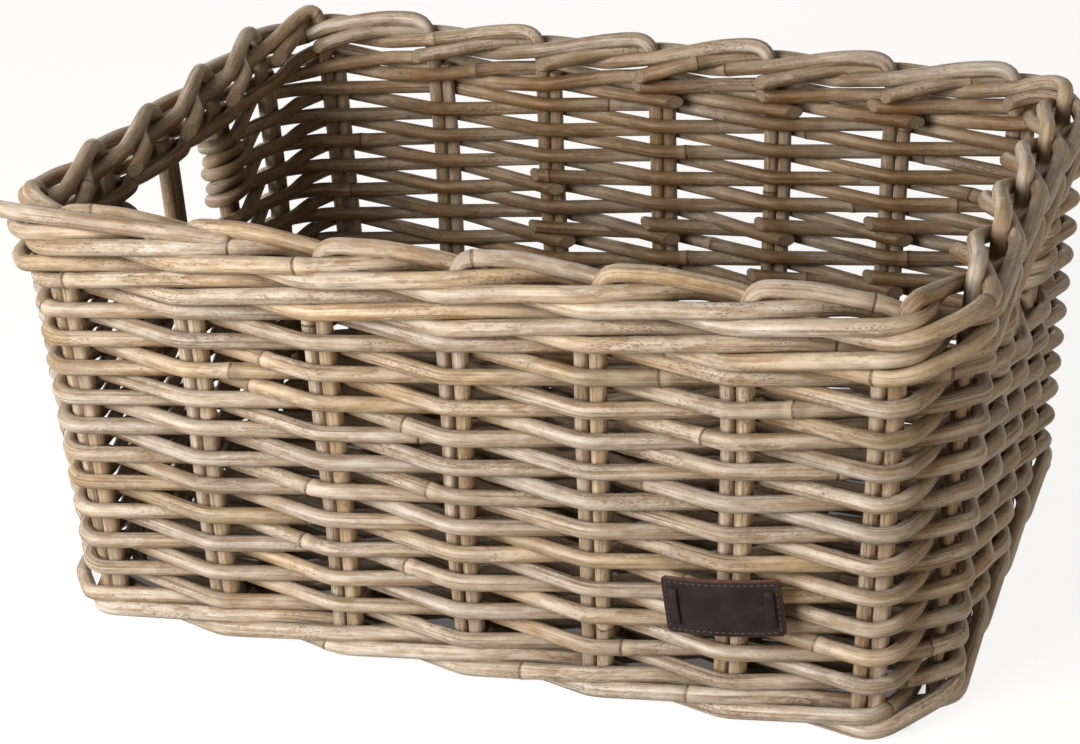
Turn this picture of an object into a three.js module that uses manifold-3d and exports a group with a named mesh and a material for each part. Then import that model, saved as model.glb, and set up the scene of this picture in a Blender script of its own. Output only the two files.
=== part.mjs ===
// A woven rattan bicycle basket: twin stakes, plain weave, waled foot and rim, rolled rod border,
// a handle opening in each end and a leather label on the front.
// Millimetres, +Z up, +X along the length, -Y the front. The origin is under the middle of the foot.

import * as THREE from 'three';
import { mergeVertices } from 'three/addons/utils/BufferGeometryUtils.js';
import Module from 'manifold-3d';

const wasm = await Module();
wasm.setup();

// Driving dimensions
const ROD = 7.6; // a rattan rod, across
const CLEARANCE = 0.3; // gap left where two pieces touch
const RIM_LENGTH = 461; // between the middles of the two end walls, at the rim
const RIM_DEPTH = 325; // between the middles of the two long walls, at the rim
const FOOT_LENGTH = 440;
const FOOT_DEPTH = 316;
const SQUARENESS = 14; // exponent of the plan curve: 2 is an ellipse, more is squarer
const LONG_INSET = 25.75; // from an end wall's middle to the long walls' last pairs, at half height
const END_INSET = 40.25; // from a long wall's middle to the end walls' last pairs, at half height
const PAIR_PRESS = 0.63; // how far the two stakes of a pair press into each other
const STAKE_LIFT = 1; // stake ends above the floor
const ROW_COUNT = 21; // rows of plain weave
const HANDLE_ROWS = 6; // rows left out at each handle opening
const WALE_LIFT = 4.6; // rise and fall of a waling rod about its own level
const JOINT_GAP = 1; // between the butted ends of one weaver
const BORDER_RISE = 1; // extra height of each bent stake over the rod it crosses
const BORDER_SWING = 0.6; // extra swing of a border rod inside the pair that bends over it
const TAIL_SHARE = 0.7; // how far inside a border rod's cut end lies, as a share of a weaver's swing
const TAIL_REACH = 0.34; // cut end of a border rod past the middle of its last gap, in gaps
const CORNER_BOW = 3; // extra distance out, at a corner, of a rod that stays outside
const BASE_ROWS = 30; // rods woven across the base sticks
const BASE_RODS = 3; // long rods that the base rows are woven from
const BASE_LIFT = 1; // base weave above the floor
const BASE_MARGIN = 2; // between the base weave and the long walls
const LABEL_WIDTH = 57;
const LABEL_HEIGHT = 29;
const LABEL_THICKNESS = 2.2;
const LABEL_SAG = 3; // how far the label's ends fall back from its middle
const LABEL_ROW = 5.5; // height of the label's middle, in rows above the first
const STRAP_WIDTH = 4;
const STRAP_THICKNESS = 1.4;
const STRAP_INSET = 6; // from the label's end to the strap's middle
const STRAP_SPAN = 18; // between the middles of a strap's two slits
const STRAP_REACH = 3; // strap ends behind the label

// Pair numbers run anticlockwise seen from above: front, right end, back, left end
const LONG_PAIRS = 7;
const END_PAIRS = 5;
const PAIRS = 2 * (LONG_PAIRS + END_PAIRS);
const RIGHT_START = LONG_PAIRS;
const BACK_START = RIGHT_START + END_PAIRS;
const LEFT_START = BACK_START + LONG_PAIRS;
const LONG_MIDDLE = (LONG_PAIRS - 1) / 2;
const END_MIDDLE = (END_PAIRS - 1) / 2;
const RIGHT_POST = RIGHT_START + END_MIDDLE;
const LEFT_POST = LEFT_START + END_MIDDLE;
const CORNERS = [RIGHT_START, BACK_START, LEFT_START, PAIRS].map((pair) => pair - 0.5);
const LABEL_PAIR = 5;
const BASE_STICKS = [1, 2, 3, 4, 5]; // front pairs that the base sticks line up with
const WALE_RODS = 3;
const FULL_ROWS = ROW_COUNT - HANDLE_ROWS;
const JOINT_PLACES = 4; // pairs of the back wall behind which the weavers are joined, in turn
const JOINT_STEP = 3; // places from one row's joint to the next, odd so that each lies inside
const CORNER_SHARE = 0.5; // share of its distance out that a crossing rod keeps at a corner
const SWING_TRIALS = 12; // trials in which the swings beside a corner settle
const TURN_ROUNDNESS = 0.76; // shape of a weaver's turn round a post: 0.5 is pointed, 1 is square
const TURN_SHARE = 0.55; // share of its swing that a base rod keeps where it turns back
const LABEL_SEGMENTS = 8;

// A rod's section has five sides and is as wide as the rod
const SIDES = 5;
const STEP_ANGLE = (2 * Math.PI) / SIDES;
const SECTION_RADIUS = ROD / 2 / Math.cos(STEP_ANGLE / 4);
const SECTION_FLAT = SECTION_RADIUS * Math.cos(STEP_ANGLE / 2);
const STACK = SECTION_RADIUS + CLEARANCE + SECTION_FLAT; // one rod laid across another
const PAIR_PITCH = SECTION_RADIUS + SECTION_FLAT - PAIR_PRESS; // between the two stakes of a pair

// Levels, from the floor up
const ROW_PITCH = ROD + CLEARANCE;
const FOOT_LEVEL = SECTION_FLAT + WALE_LIFT;
const FIRST_ROW = FOOT_LEVEL + WALE_LIFT + STACK;
const LAST_ROW = FIRST_ROW + (ROW_COUNT - 1) * ROW_PITCH;
const WALE_LEVEL = LAST_ROW + STACK + WALE_LIFT;
const TUCK_LEVEL = WALE_LEVEL + WALE_LIFT + STACK;
const CROSS_LEVEL = TUCK_LEVEL + STACK;
const RIM_LEVEL = CROSS_LEVEL + STACK + BORDER_RISE;
const HEIGHT = RIM_LEVEL + SECTION_RADIUS;

const UP = new THREE.Vector3(0, 0, 1);

const HONEY = 0xa98f68;
const GREY = 0x9a8d7a;
const BROWN = 0x86704f;
const LEATHER = 0x2e2220;
const RATTAN_ROUGHNESS = 0.75;
const LEATHER_ROUGHNESS = 0.6;

function halfLength(z) {
  return THREE.MathUtils.lerp(FOOT_LENGTH, RIM_LENGTH, z / HEIGHT) / 2;
}

function halfDepth(z) {
  return THREE.MathUtils.lerp(FOOT_DEPTH, RIM_DEPTH, z / HEIGHT) / 2;
}

// The other coordinate of a point on the plan curve, whose two half widths are given
function across(along, alongHalf, acrossHalf) {
  const share = 1 - (Math.abs(along) / alongHalf) ** SQUARENESS;
  return acrossHalf * share ** (1 / SQUARENESS);
}

// Between stake pairs, at half height
const LONG_SPACING = (halfLength(HEIGHT / 2) - LONG_INSET) / LONG_MIDDLE;
const END_SPACING = (halfDepth(HEIGHT / 2) - END_INSET) / END_MIDDLE;

// Direction of each stake pair from the basket's middle, with the plan's two half widths drawn as one
function pairBearing(pair) {
  const onBackHalf = pair >= BACK_START;
  const place = onBackHalf ? pair - BACK_START : pair;
  const half = onBackHalf ? Math.PI : 0;
  if (place < LONG_PAIRS) {
    const x = ((place - LONG_MIDDLE) * LONG_SPACING) / halfLength(HEIGHT / 2);
    return Math.atan2(-across(x, 1, 1), x) + half;
  }
  const y = ((place - RIGHT_START - END_MIDDLE) * END_SPACING) / halfDepth(HEIGHT / 2);
  return Math.atan2(y, across(y, 1, 1)) + half;
}

const BEARINGS = Array.from({ length: PAIRS }, (_, pair) => pairBearing(pair));

// Direction of the middle of the gap after each pair, which at the four corners is the corner itself
const CORNER_BEARINGS = CORNERS.map((_, corner) => Math.PI * (corner / 2 - 1 / 4));
const GAP_BEARINGS = BEARINGS.map((bearing, pair) => {
  const corner = CORNERS.indexOf(pair + 0.5);
  return corner < 0 ? (bearing + BEARINGS[pair + 1]) / 2 : CORNER_BEARINGS[corner];
});

// Direction at u, counted in stake pairs
function bearingAt(u) {
  const halves = [BEARINGS, GAP_BEARINGS];
  const bearingOf = (half) => {
    const turn = Math.floor(half / (2 * PAIRS));
    const place = half - turn * 2 * PAIRS;
    return halves[place % 2][Math.floor(place / 2)] + turn * 2 * Math.PI;
  };
  const half = Math.floor(2 * u);
  return THREE.MathUtils.lerp(bearingOf(half), bearingOf(half + 1), 2 * u - half);
}

// Outward direction of the wall at u, counted in stake pairs
function wallOutward(u, z) {
  const x = Math.cos(bearingAt(u));
  const y = Math.sin(bearingAt(u));
  const acrossEnd = (Math.sign(x) * Math.abs(x) ** (SQUARENESS - 1)) / halfLength(z);
  const acrossFront = (Math.sign(y) * Math.abs(y) ** (SQUARENESS - 1)) / halfDepth(z);
  return new THREE.Vector3(acrossEnd, acrossFront, 0).normalize();
}

// A point of the wall: u in stake pairs, z above the floor, out from the middle, along to the right
function wallPoint(u, z, out = 0, along = 0) {
  const x = Math.cos(bearingAt(u));
  const y = Math.sin(bearingAt(u));
  const reach = (Math.abs(x) ** SQUARENESS + Math.abs(y) ** SQUARENESS) ** (-1 / SQUARENESS);
  const outward = wallOutward(u, z);
  const onward = new THREE.Vector3().crossVectors(UP, outward);
  return new THREE.Vector3(x * reach * halfLength(z), y * reach * halfDepth(z), z)
    .addScaledVector(outward, out)
    .addScaledVector(onward, along);
}

function isCorner(u) {
  return CORNERS.includes(THREE.MathUtils.euclideanModulo(u, PAIRS));
}

// How far out a rod is halfway across the gap after a pair, on its way to the wall's other face. A
// corner lies close to the long wall's last pair, so there the rod keeps a share of its distance
function crossing(pair, before, after) {
  const corner = CORNERS.indexOf(THREE.MathUtils.euclideanModulo(pair + 0.5, PAIRS));
  if (corner < 0) {
    return 0;
  }
  return CORNER_SHARE * (corner % 2 === 0 ? before : after);
}

// Between the middles of a stake and of a rod that passes it
const CONTACT = SECTION_RADIUS + CLEARANCE + ROD / 2;

// How far along a rod bends from a pair's middle: outside the end walls' last pairs it bends over the
// stake next to the corner, so that it hugs the corner
function bendShift(pair, face) {
  const place = THREE.MathUtils.euclideanModulo(pair, BACK_START);
  if (face < 0 || (place !== RIGHT_START && place !== BACK_START - 1)) {
    return 0;
  }
  return place === RIGHT_START ? -PAIR_PITCH / 2 : PAIR_PITCH / 2;
}

// How far from the wall's middle a rod passes one face of a pair, outside (1) or inside (-1), so
// that its slopes to the middles of the two gaps clear both stakes
function swingPast(pair, face) {
  const outward = wallOutward(pair, 0);
  const onward = new THREE.Vector3().crossVectors(UP, outward);
  const swingTowards = (step, gapOut) => {
    const toGap = wallPoint(pair + step, 0, gapOut).sub(wallPoint(pair, 0));
    const reach = Math.abs(toGap.dot(onward));
    const run = reach - PAIR_PITCH / 2;
    const drop = -face * toGap.dot(outward);
    const slope = Math.atan2(drop, run) + Math.asin(CONTACT / Math.hypot(drop, run));
    return (reach - Math.sign(step) * bendShift(pair, face)) * Math.tan(slope) - drop;
  };
  let swing = CONTACT;
  for (let trial = 0; trial < SWING_TRIALS; trial += 1) {
    const out = face * swing;
    const before = swingTowards(-0.5, crossing(pair - 1, -out, out));
    const after = swingTowards(0.5, crossing(pair, out, -out));
    swing = Math.max(before, after);
  }
  return swing;
}

const OUTSIDE = BEARINGS.map((_, pair) => swingPast(pair, 1));
const INSIDE = BEARINGS.map((_, pair) => swingPast(pair, -1));
const INNER_FACE = Math.max(...INSIDE) + ROD / 2;

function outside(pair) {
  return OUTSIDE[THREE.MathUtils.euclideanModulo(pair, PAIRS)];
}

function inside(pair) {
  return -INSIDE[THREE.MathUtils.euclideanModulo(pair, PAIRS)];
}

// A rod's route through chosen points; at each one its section turns to face a reference direction
class RodPath extends THREE.Curve {
  constructor(points, references) {
    super();
    this.points = points;
    this.references = references;
    this.last = points.length - 1;
  }

  getPointAt(t) {
    return this.points[Math.round(t * this.last)].clone();
  }

  stretch(index) {
    const from = Math.min(Math.max(index, 0), this.last - 1);
    return this.points[from + 1].clone().sub(this.points[from]).normalize();
  }

  getTangentAt(t) {
    const index = Math.round(t * this.last);
    return this.stretch(index - 1).add(this.stretch(index)).normalize();
  }

  // At a bend the section is drawn out across it, so that both stretches keep the rod's thickness
  computeFrenetFrames(segments) {
    const frames = { tangents: [], normals: [], binormals: [] };
    for (let index = 0; index <= segments; index += 1) {
      const tangent = this.getTangentAt(index / segments);
      const normal = this.references[index].clone();
      normal.addScaledVector(tangent, -normal.dot(tangent)).normalize();
      const binormal = new THREE.Vector3().crossVectors(tangent, normal);
      const inward = this.stretch(index).sub(this.stretch(index - 1)).normalize();
      const excess = 1 / this.stretch(index).dot(tangent) - 1;
      binormal.multiplyScalar(1 + excess * binormal.dot(inward) ** 2);
      frames.tangents.push(tangent);
      frames.normals.push(normal);
      frames.binormals.push(binormal);
    }
    return frames;
  }
}

// A rod along a route, with one edge of its section turned to a given angle from the reference
function rodAlong(points, references, edgeAngle = 0) {
  const corners = Array.from({ length: SIDES }, (_, side) => {
    const angle = edgeAngle + side * STEP_ANGLE;
    return new THREE.Vector2(Math.cos(angle), Math.sin(angle)).multiplyScalar(SECTION_RADIUS);
  });
  const route = new RodPath(points, references);
  return new THREE.ExtrudeGeometry(new THREE.Shape(corners), {
    steps: points.length - 1,
    extrudePath: route,
  });
}

function levelRod(points, edgeAngle = 0) {
  return rodAlong(points, points.map(() => UP), edgeAngle);
}

// A rod through stops on the wall: pair number, height, distance out and distance along
function levelWallRod(stops) {
  return levelRod(stops.map((stop) => wallPoint(...stop)));
}

function upright(stops) {
  const points = stops.map((stop) => wallPoint(...stop));
  const references = stops.map(([u, z]) => wallOutward(u, z));
  return rodAlong(points, references, -Math.PI / 2);
}

// Joins and cuts
function toSolid(geometry) {
  const bare = geometry.clone();
  bare.deleteAttribute('normal');
  bare.deleteAttribute('uv');
  const merged = mergeVertices(bare);
  const vertProperties = new Float32Array(merged.attributes.position.array);
  const triVerts = new Uint32Array(merged.index.array);
  return new wasm.Manifold(new wasm.Mesh({ numProp: 3, vertProperties, triVerts }));
}

function toGeometry(solid) {
  const mesh = solid.getMesh();
  const geometry = new THREE.BufferGeometry();
  geometry.setAttribute('position', new THREE.BufferAttribute(mesh.vertProperties, 3));
  geometry.setIndex(new THREE.BufferAttribute(mesh.triVerts, 1));
  geometry.computeVertexNormals();
  return geometry;
}

const basket = new THREE.Group();
basket.name = 'bicycle_basket';

function addPiece(parent, name, geometry, color, roughness = RATTAN_ROUGHNESS) {
  const material = new THREE.MeshStandardMaterial({ color, roughness, metalness: 0 });
  const mesh = new THREE.Mesh(geometry, material);
  mesh.name = name;
  parent.add(mesh);
  return mesh;
}

// Border: each leading stake bends to the right over the rim, passes behind the next pair and in
// front of the two after it, and is tucked in under the rods that follow
function leadingStake(pair) {
  const shift = PAIR_PITCH / 2;
  const behind = inside(pair + 1) - BORDER_SWING;
  const bow = isCorner(pair + 2.5) ? CORNER_BOW : 0;
  return upright([
    [pair, STAKE_LIFT, 0, shift],
    [pair, TUCK_LEVEL + SECTION_RADIUS, 0, shift],
    [pair, RIM_LEVEL - CLEARANCE, 0, shift + SECTION_RADIUS],
    [pair + 0.25, RIM_LEVEL, -CLEARANCE, 0],
    [pair + 0.5, RIM_LEVEL, inside(pair + 1) / 2, 0],
    [pair + 1, CROSS_LEVEL + SECTION_FLAT, behind, 0],
    [pair + 1.5, CROSS_LEVEL, crossing(pair + 1, inside(pair + 1), outside(pair + 2)), 0],
    [pair + 2, CROSS_LEVEL + SECTION_FLAT, outside(pair + 2), bendShift(pair + 2, 1)],
    [pair + 2.5, TUCK_LEVEL + SECTION_RADIUS, outside(pair + 3) + bow, 0],
    [pair + 3, TUCK_LEVEL, outside(pair + 3), bendShift(pair + 3, 1)],
    [pair + 3.5, TUCK_LEVEL, crossing(pair + 3, outside(pair + 3), inside(pair + 4)), 0],
    [pair + 3.5 + TAIL_REACH, TUCK_LEVEL, inside(pair + 4) * TAIL_SHARE, 0],
  ]);
}

// The second stake of a pair stops under the border
function shortStake(pair) {
  const shift = -PAIR_PITCH / 2;
  return upright([[pair, STAKE_LIFT, 0, shift], [pair, WALE_LEVEL + WALE_LIFT, 0, shift]]);
}

function pairName(pair) {
  const sides = [['front', 0], ['right', RIGHT_START], ['back', BACK_START], ['left', LEFT_START]];
  const [side, start] = sides.filter(([, first]) => pair >= first).at(-1);
  return `stake_${side}_${pair - start + 1}`;
}

for (let pair = 0; pair < PAIRS; pair += 1) {
  const joined = toSolid(leadingStake(pair)).add(toSolid(shortStake(pair)));
  addPiece(basket, pairName(pair), toGeometry(joined), BROWN);
}

// Plain weave: even rows pass outside the odd pairs, odd rows outside the even ones
function rowLevel(row) {
  return FIRST_ROW + row * ROW_PITCH;
}

function rowOut(row, pair) {
  return (row + pair) % 2 === 0 ? inside(pair) : outside(pair);
}

function rowStops(row, first, last) {
  const stops = [];
  for (let pair = first; pair <= last; pair += 1) {
    stops.push([pair, rowLevel(row), rowOut(row, pair), bendShift(pair, rowOut(row, pair))]);
    if (isCorner(pair + 0.5)) {
      const out = crossing(pair, rowOut(row, pair), rowOut(row, pair + 1));
      stops.push([pair + 0.5, rowLevel(row), out, 0]);
    }
  }
  return stops;
}

// A whole row starts and ends behind one pair of the back wall
function fullRow(row) {
  const start = BACK_START + 1 + ((JOINT_STEP * row + 1) % JOINT_PLACES);
  const out = rowOut(row, start);
  const head = [start, rowLevel(row), out, JOINT_GAP / 2];
  const tail = [start, rowLevel(row), out, -JOINT_GAP / 2];
  return levelWallRod([head, ...rowStops(row, start + 1, start + PAIRS - 1), tail]);
}

for (let row = 0; row < FULL_ROWS; row += 1) {
  const name = `weaver_${String(row + 1).padStart(2, '0')}`;
  addPiece(basket, name, fullRow(row), row % 2 === 0 ? HONEY : GREY);
}

// At the handle openings each weaver turns back round the outer post
function turnRound(row, post, side) {
  const start = rowOut(row, post) * TURN_ROUNDNESS;
  const end = rowOut(row + 1, post) * TURN_ROUNDNESS;
  const reach = side * (PAIR_PITCH / 2 + SECTION_RADIUS + CLEARANCE + SECTION_RADIUS);
  return [
    [post, rowLevel(row + 0.25), start, reach * TURN_ROUNDNESS],
    [post, rowLevel(row + 0.5), 0, reach],
    [post, rowLevel(row + 0.75), end, reach * TURN_ROUNDNESS],
  ];
}

function handleWeaver(first, last) {
  const stops = [];
  for (let row = FULL_ROWS; row < ROW_COUNT; row += 1) {
    const rightward = (row - FULL_ROWS) % 2 === 0;
    const passes = rowStops(row, first, last);
    stops.push(...(rightward ? passes : passes.reverse()));
    if (row < ROW_COUNT - 1) {
      stops.push(...turnRound(row, rightward ? last : first, rightward ? 1 : -1));
    }
  }
  return levelWallRod(stops);
}

addPiece(basket, 'handle_weaver_front', handleWeaver(LEFT_POST + 1 - PAIRS, RIGHT_POST - 1), HONEY);
addPiece(basket, 'handle_weaver_back', handleWeaver(RIGHT_POST + 1, LEFT_POST - 1), HONEY);

// Three-rod waling: each rod passes in front of two pairs, sinking, then behind one, rising
function walingRod(level, first) {
  const high = level + WALE_LIFT;
  const low = level - WALE_LIFT;
  const stops = [];
  for (let pair = first; pair < first + PAIRS; pair += WALE_RODS) {
    const rising = crossing(pair, inside(pair), outside(pair + 1));
    const sinking = crossing(pair + 2, outside(pair + 2), inside(pair + 3));
    stops.push([pair, level, inside(pair), 0]);
    stops.push([pair + 0.5, high, rising, 0]);
    stops.push([pair + 1, high, outside(pair + 1), bendShift(pair + 1, 1)]);
    if (isCorner(pair + 1.5)) {
      stops.push([pair + 1.5, level, outside(pair + 1) + CORNER_BOW, 0]);
    }
    stops.push([pair + 2, low, outside(pair + 2), bendShift(pair + 2, 1)]);
    stops.push([pair + 2.5, low, sinking, 0]);
  }
  stops[0] = [first, level, inside(first), JOINT_GAP / 2];
  stops.push([first, level, inside(first), -JOINT_GAP / 2]);
  return levelWallRod(stops);
}

for (let rod = 0; rod < WALE_RODS; rod += 1) {
  const first = BACK_START + 1 + rod;
  addPiece(basket, `foot_wale_${rod + 1}`, walingRod(FOOT_LEVEL, first), GREY);
  addPiece(basket, `rim_wale_${rod + 1}`, walingRod(WALE_LEVEL, first), GREY);
}

// Base: sticks from front to back in line with the stakes, and rods woven across them end to end
const BASE_SWING = CONTACT / Math.cos(Math.asin((2 * CONTACT) / LONG_SPACING));
const BASE_LEVEL = BASE_LIFT + ROD / 2 + BASE_SWING;
const INNER_LENGTH = halfLength(BASE_LEVEL) - INNER_FACE - CLEARANCE;
const INNER_DEPTH = halfDepth(BASE_LEVEL) - INNER_FACE - CLEARANCE;
const OUTER_ROW = INNER_DEPTH - BASE_MARGIN - SECTION_RADIUS;
const STICK_PLACES = BASE_STICKS.map((pair) => wallPoint(pair, BASE_LEVEL).x);

// Each stick ends against the rods that pass inside its own pairs
BASE_STICKS.forEach((pair, index) => {
  const { y } = wallPoint(pair, FOOT_LEVEL, inside(pair) - ROD / 2 - CLEARANCE);
  const ends = [y, -y].map((end) => new THREE.Vector3(STICK_PLACES[index], end, BASE_LEVEL));
  addPiece(basket, `base_stick_${index + 1}`, levelRod(ends, Math.PI / 2), BROWN);
});

function baseRowPlace(row) {
  return THREE.MathUtils.lerp(-OUTER_ROW, OUTER_ROW, row / (BASE_ROWS - 1));
}

function baseRowReach(row) {
  const edge = Math.abs(baseRowPlace(row)) + SECTION_RADIUS;
  return across(edge, INNER_DEPTH, INNER_LENGTH) - SECTION_RADIUS;
}

function baseSide(row, stick) {
  return (row + stick) % 2 === 0 ? 1 : -1;
}

// One row across all the sticks, with its two ends on the way to the rows beside it
function baseRow(row) {
  const y = baseRowPlace(row);
  const reach = baseRowReach(row);
  const levelAt = (stick) => BASE_LEVEL + BASE_SWING * baseSide(row, stick);
  const endLevel = THREE.MathUtils.lerp(BASE_LEVEL, levelAt(0), TURN_SHARE);
  const points = STICK_PLACES.map((x, stick) => new THREE.Vector3(x, y, levelAt(stick)));
  points.unshift(new THREE.Vector3(-reach, y, endLevel));
  points.push(new THREE.Vector3(reach, y, endLevel));
  return row % 2 === 0 ? points : points.reverse();
}

for (let index = 0; index < BASE_RODS; index += 1) {
  const rows = Array.from({ length: BASE_ROWS / BASE_RODS }, (_, row) => {
    return baseRow((index * BASE_ROWS) / BASE_RODS + row);
  });
  addPiece(basket, `base_weaver_${index + 1}`, levelRod(rows.flat(), Math.PI / 2), HONEY);
}

// Label: a curved strip of leather on the front, held by a strap through two slits at each end
const LABEL_RADIUS = (LABEL_WIDTH ** 2 / 4 + LABEL_SAG ** 2) / (2 * LABEL_SAG);
const STRAP_TURN = Math.asin((LABEL_WIDTH / 2 - STRAP_INSET) / LABEL_RADIUS);

function labelBlank() {
  const half = Math.asin(LABEL_WIDTH / 2 / LABEL_RADIUS);
  const outline = new THREE.Shape();
  const [right, left] = [Math.PI / 2 - half, Math.PI / 2 + half];
  outline.absarc(0, -LABEL_RADIUS, LABEL_RADIUS + LABEL_THICKNESS, right, left, false);
  outline.absarc(0, -LABEL_RADIUS, LABEL_RADIUS, left, right, true);
  const options = { depth: LABEL_HEIGHT, bevelEnabled: false, curveSegments: LABEL_SEGMENTS };
  return new THREE.ExtrudeGeometry(outline, options).translate(0, 0, -LABEL_HEIGHT / 2);
}

function strapSlit(side, end) {
  const wide = STRAP_WIDTH + 2 * CLEARANCE;
  const high = STRAP_THICKNESS + 2 * CLEARANCE;
  return new THREE.BoxGeometry(wide, 2 * (LABEL_THICKNESS + STRAP_REACH), high)
    .translate(0, LABEL_RADIUS, (end * STRAP_SPAN) / 2)
    .rotateZ(-side * STRAP_TURN)
    .translate(0, -LABEL_RADIUS, 0);
}

// A staple-shaped strap: its profile runs outward and up, and is drawn out to the strap's width
function strapGeometry() {
  const front = LABEL_THICKNESS + CLEARANCE;
  const outer = STRAP_SPAN / 2 + STRAP_THICKNESS / 2;
  const inner = STRAP_SPAN / 2 - STRAP_THICKNESS / 2;
  const upper = [[front, inner], [-STRAP_REACH, inner], [-STRAP_REACH, outer]];
  const face = [[front + STRAP_THICKNESS, outer], [front + STRAP_THICKNESS, -outer]];
  const lower = [[-STRAP_REACH, -outer], [-STRAP_REACH, -inner], [front, -inner]];
  const profile = [...upper, ...face, ...lower].map(([out, up]) => new THREE.Vector2(out, up));
  const options = { depth: STRAP_WIDTH, bevelEnabled: false };
  return new THREE.ExtrudeGeometry(new THREE.Shape(profile), options)
    .translate(0, 0, -STRAP_WIDTH / 2)
    .rotateX(Math.PI / 2)
    .rotateZ(Math.PI / 2);
}

// It stands upright, clear of the rows behind it, which lean out further towards its top
const labelPlace = new THREE.Group();
const labelOutward = wallOutward(LABEL_PAIR, rowLevel(LABEL_ROW));
const labelBack = outside(LABEL_PAIR) + ROD / 2 + CLEARANCE;
labelPlace.position.copy(wallPoint(LABEL_PAIR, rowLevel(LABEL_ROW + 1), labelBack));
labelPlace.position.z = rowLevel(LABEL_ROW);
labelPlace.rotation.z = Math.atan2(labelOutward.y, labelOutward.x) - Math.PI / 2;
basket.add(labelPlace);

let labelSolid = toSolid(labelBlank());
for (const side of [-1, 1]) {
  for (const end of [-1, 1]) {
    labelSolid = labelSolid.subtract(toSolid(strapSlit(side, end)));
  }
  const strapPlace = new THREE.Group();
  strapPlace.position.y = -LABEL_RADIUS;
  strapPlace.rotation.z = -side * STRAP_TURN;
  labelPlace.add(strapPlace);
  const strapName = side < 0 ? 'label_strap_right' : 'label_strap_left';
  const strap = addPiece(strapPlace, strapName, strapGeometry(), LEATHER, LEATHER_ROUGHNESS);
  strap.position.y = LABEL_RADIUS;
}
addPiece(labelPlace, 'leather_label', toGeometry(labelSolid), LEATHER, LEATHER_ROUGHNESS);

export default basket;
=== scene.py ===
# %% [markdown]
# This lesson rebuilds a woven rattan basket for a bicycle.

# %% Load the imported basket as a fixed frame
import math

import bpy
import numpy as np
from mathutils import Matrix


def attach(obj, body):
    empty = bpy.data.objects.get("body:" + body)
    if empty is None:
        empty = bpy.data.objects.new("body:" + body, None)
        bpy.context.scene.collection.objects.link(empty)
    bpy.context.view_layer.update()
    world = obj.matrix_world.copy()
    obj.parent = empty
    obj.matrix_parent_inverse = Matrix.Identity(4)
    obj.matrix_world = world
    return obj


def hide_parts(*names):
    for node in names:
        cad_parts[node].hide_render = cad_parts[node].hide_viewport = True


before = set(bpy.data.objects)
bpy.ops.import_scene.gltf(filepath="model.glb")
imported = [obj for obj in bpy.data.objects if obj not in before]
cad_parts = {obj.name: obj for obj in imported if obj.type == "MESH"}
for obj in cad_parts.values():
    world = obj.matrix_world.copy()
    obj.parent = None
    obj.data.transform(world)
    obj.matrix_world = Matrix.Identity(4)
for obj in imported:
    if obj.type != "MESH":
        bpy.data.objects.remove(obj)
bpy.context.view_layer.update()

# %% [markdown]
# The basket is woven from rattan rods of one thickness. A weaver works in millimetres, so the sizes below
# are millimetres too, and each finished surface is turned into metres when it becomes a mesh. The solids
# have five-sided rods. A modifier could smooth them, but not give them growth rings or fibres. So every rod
# is laid again here, round and fine, along the same route.

# %% Sizes of the basket
ROD = 7.6
CLEARANCE = 0.3
RIM_LENGTH, RIM_DEPTH = 461.0, 325.0
FOOT_LENGTH, FOOT_DEPTH = 440.0, 316.0
SQUARENESS = 14
LONG_INSET, END_INSET = 25.75, 40.25
PAIR_PRESS = 0.63
STAKE_LIFT, WALE_LIFT, RIM_LIFT = 1.0, 4.6, 1.0
JOINT_GAP = 1.0
ROW_COUNT, HANDLE_ROWS = 21, 6
FULL_ROWS = ROW_COUNT - HANDLE_ROWS
LONG_PAIRS, END_PAIRS = 7, 5
RIGHT_START, BACK_START = LONG_PAIRS, LONG_PAIRS + END_PAIRS
LEFT_START, PAIRS = BACK_START + LONG_PAIRS, 2 * BACK_START
RIGHT_POST, LEFT_POST = RIGHT_START + END_PAIRS // 2, LEFT_START + END_PAIRS // 2
CORNER_GAPS = np.array([RIGHT_START, BACK_START, LEFT_START, PAIRS]) - 1
print(PAIRS, "pairs of stakes, with corners after pairs", CORNER_GAPS)

# %% Levels of the basket, from the floor up
corner_radius = ROD / 2 / math.cos(math.pi / 10)
flat_radius = corner_radius * math.cos(math.pi / 5)
stack = corner_radius + CLEARANCE + flat_radius
PAIR_PITCH = corner_radius + flat_radius - PAIR_PRESS
ROW_PITCH = ROD + CLEARANCE
FOOT_LEVEL = flat_radius + WALE_LIFT
FIRST_ROW = FOOT_LEVEL + WALE_LIFT + stack
WALE_LEVEL = FIRST_ROW + (ROW_COUNT - 1) * ROW_PITCH + stack + WALE_LIFT
TUCK_LEVEL = WALE_LEVEL + WALE_LIFT + stack
CROSS_LEVEL = TUCK_LEVEL + stack
RIM_LEVEL = CROSS_LEVEL + stack + RIM_LIFT
HEIGHT = RIM_LEVEL + corner_radius
print("rows from", round(FIRST_ROW, 1), "mm, rim at", round(RIM_LEVEL, 1), "mm")

# %% [markdown]
# The wall leans out a little from foot to rim, and its plan is a rectangle with tight round corners. Lines
# and arcs could draw it, but a superellipse does so in one formula: the power 14 keeps the sides straight
# and the corners small. A place on the wall is written the way a weaver counts it: which stake pair, how
# high, how far out and how far along.

# %% Where the stakes stand
def half_widths(z):
    """Half the length and half the depth of the wall at height z: a straight line from foot to rim."""
    share = np.asarray(z, float) / HEIGHT
    length = FOOT_LENGTH + (RIM_LENGTH - FOOT_LENGTH) * share
    depth = FOOT_DEPTH + (RIM_DEPTH - FOOT_DEPTH) * share
    return length / 2, depth / 2


def superellipse(share):
    """The other coordinate on a superellipse of half width one: the root of one less the share's power."""
    return (1 - np.abs(share) ** SQUARENESS) ** (1 / SQUARENESS)


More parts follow.
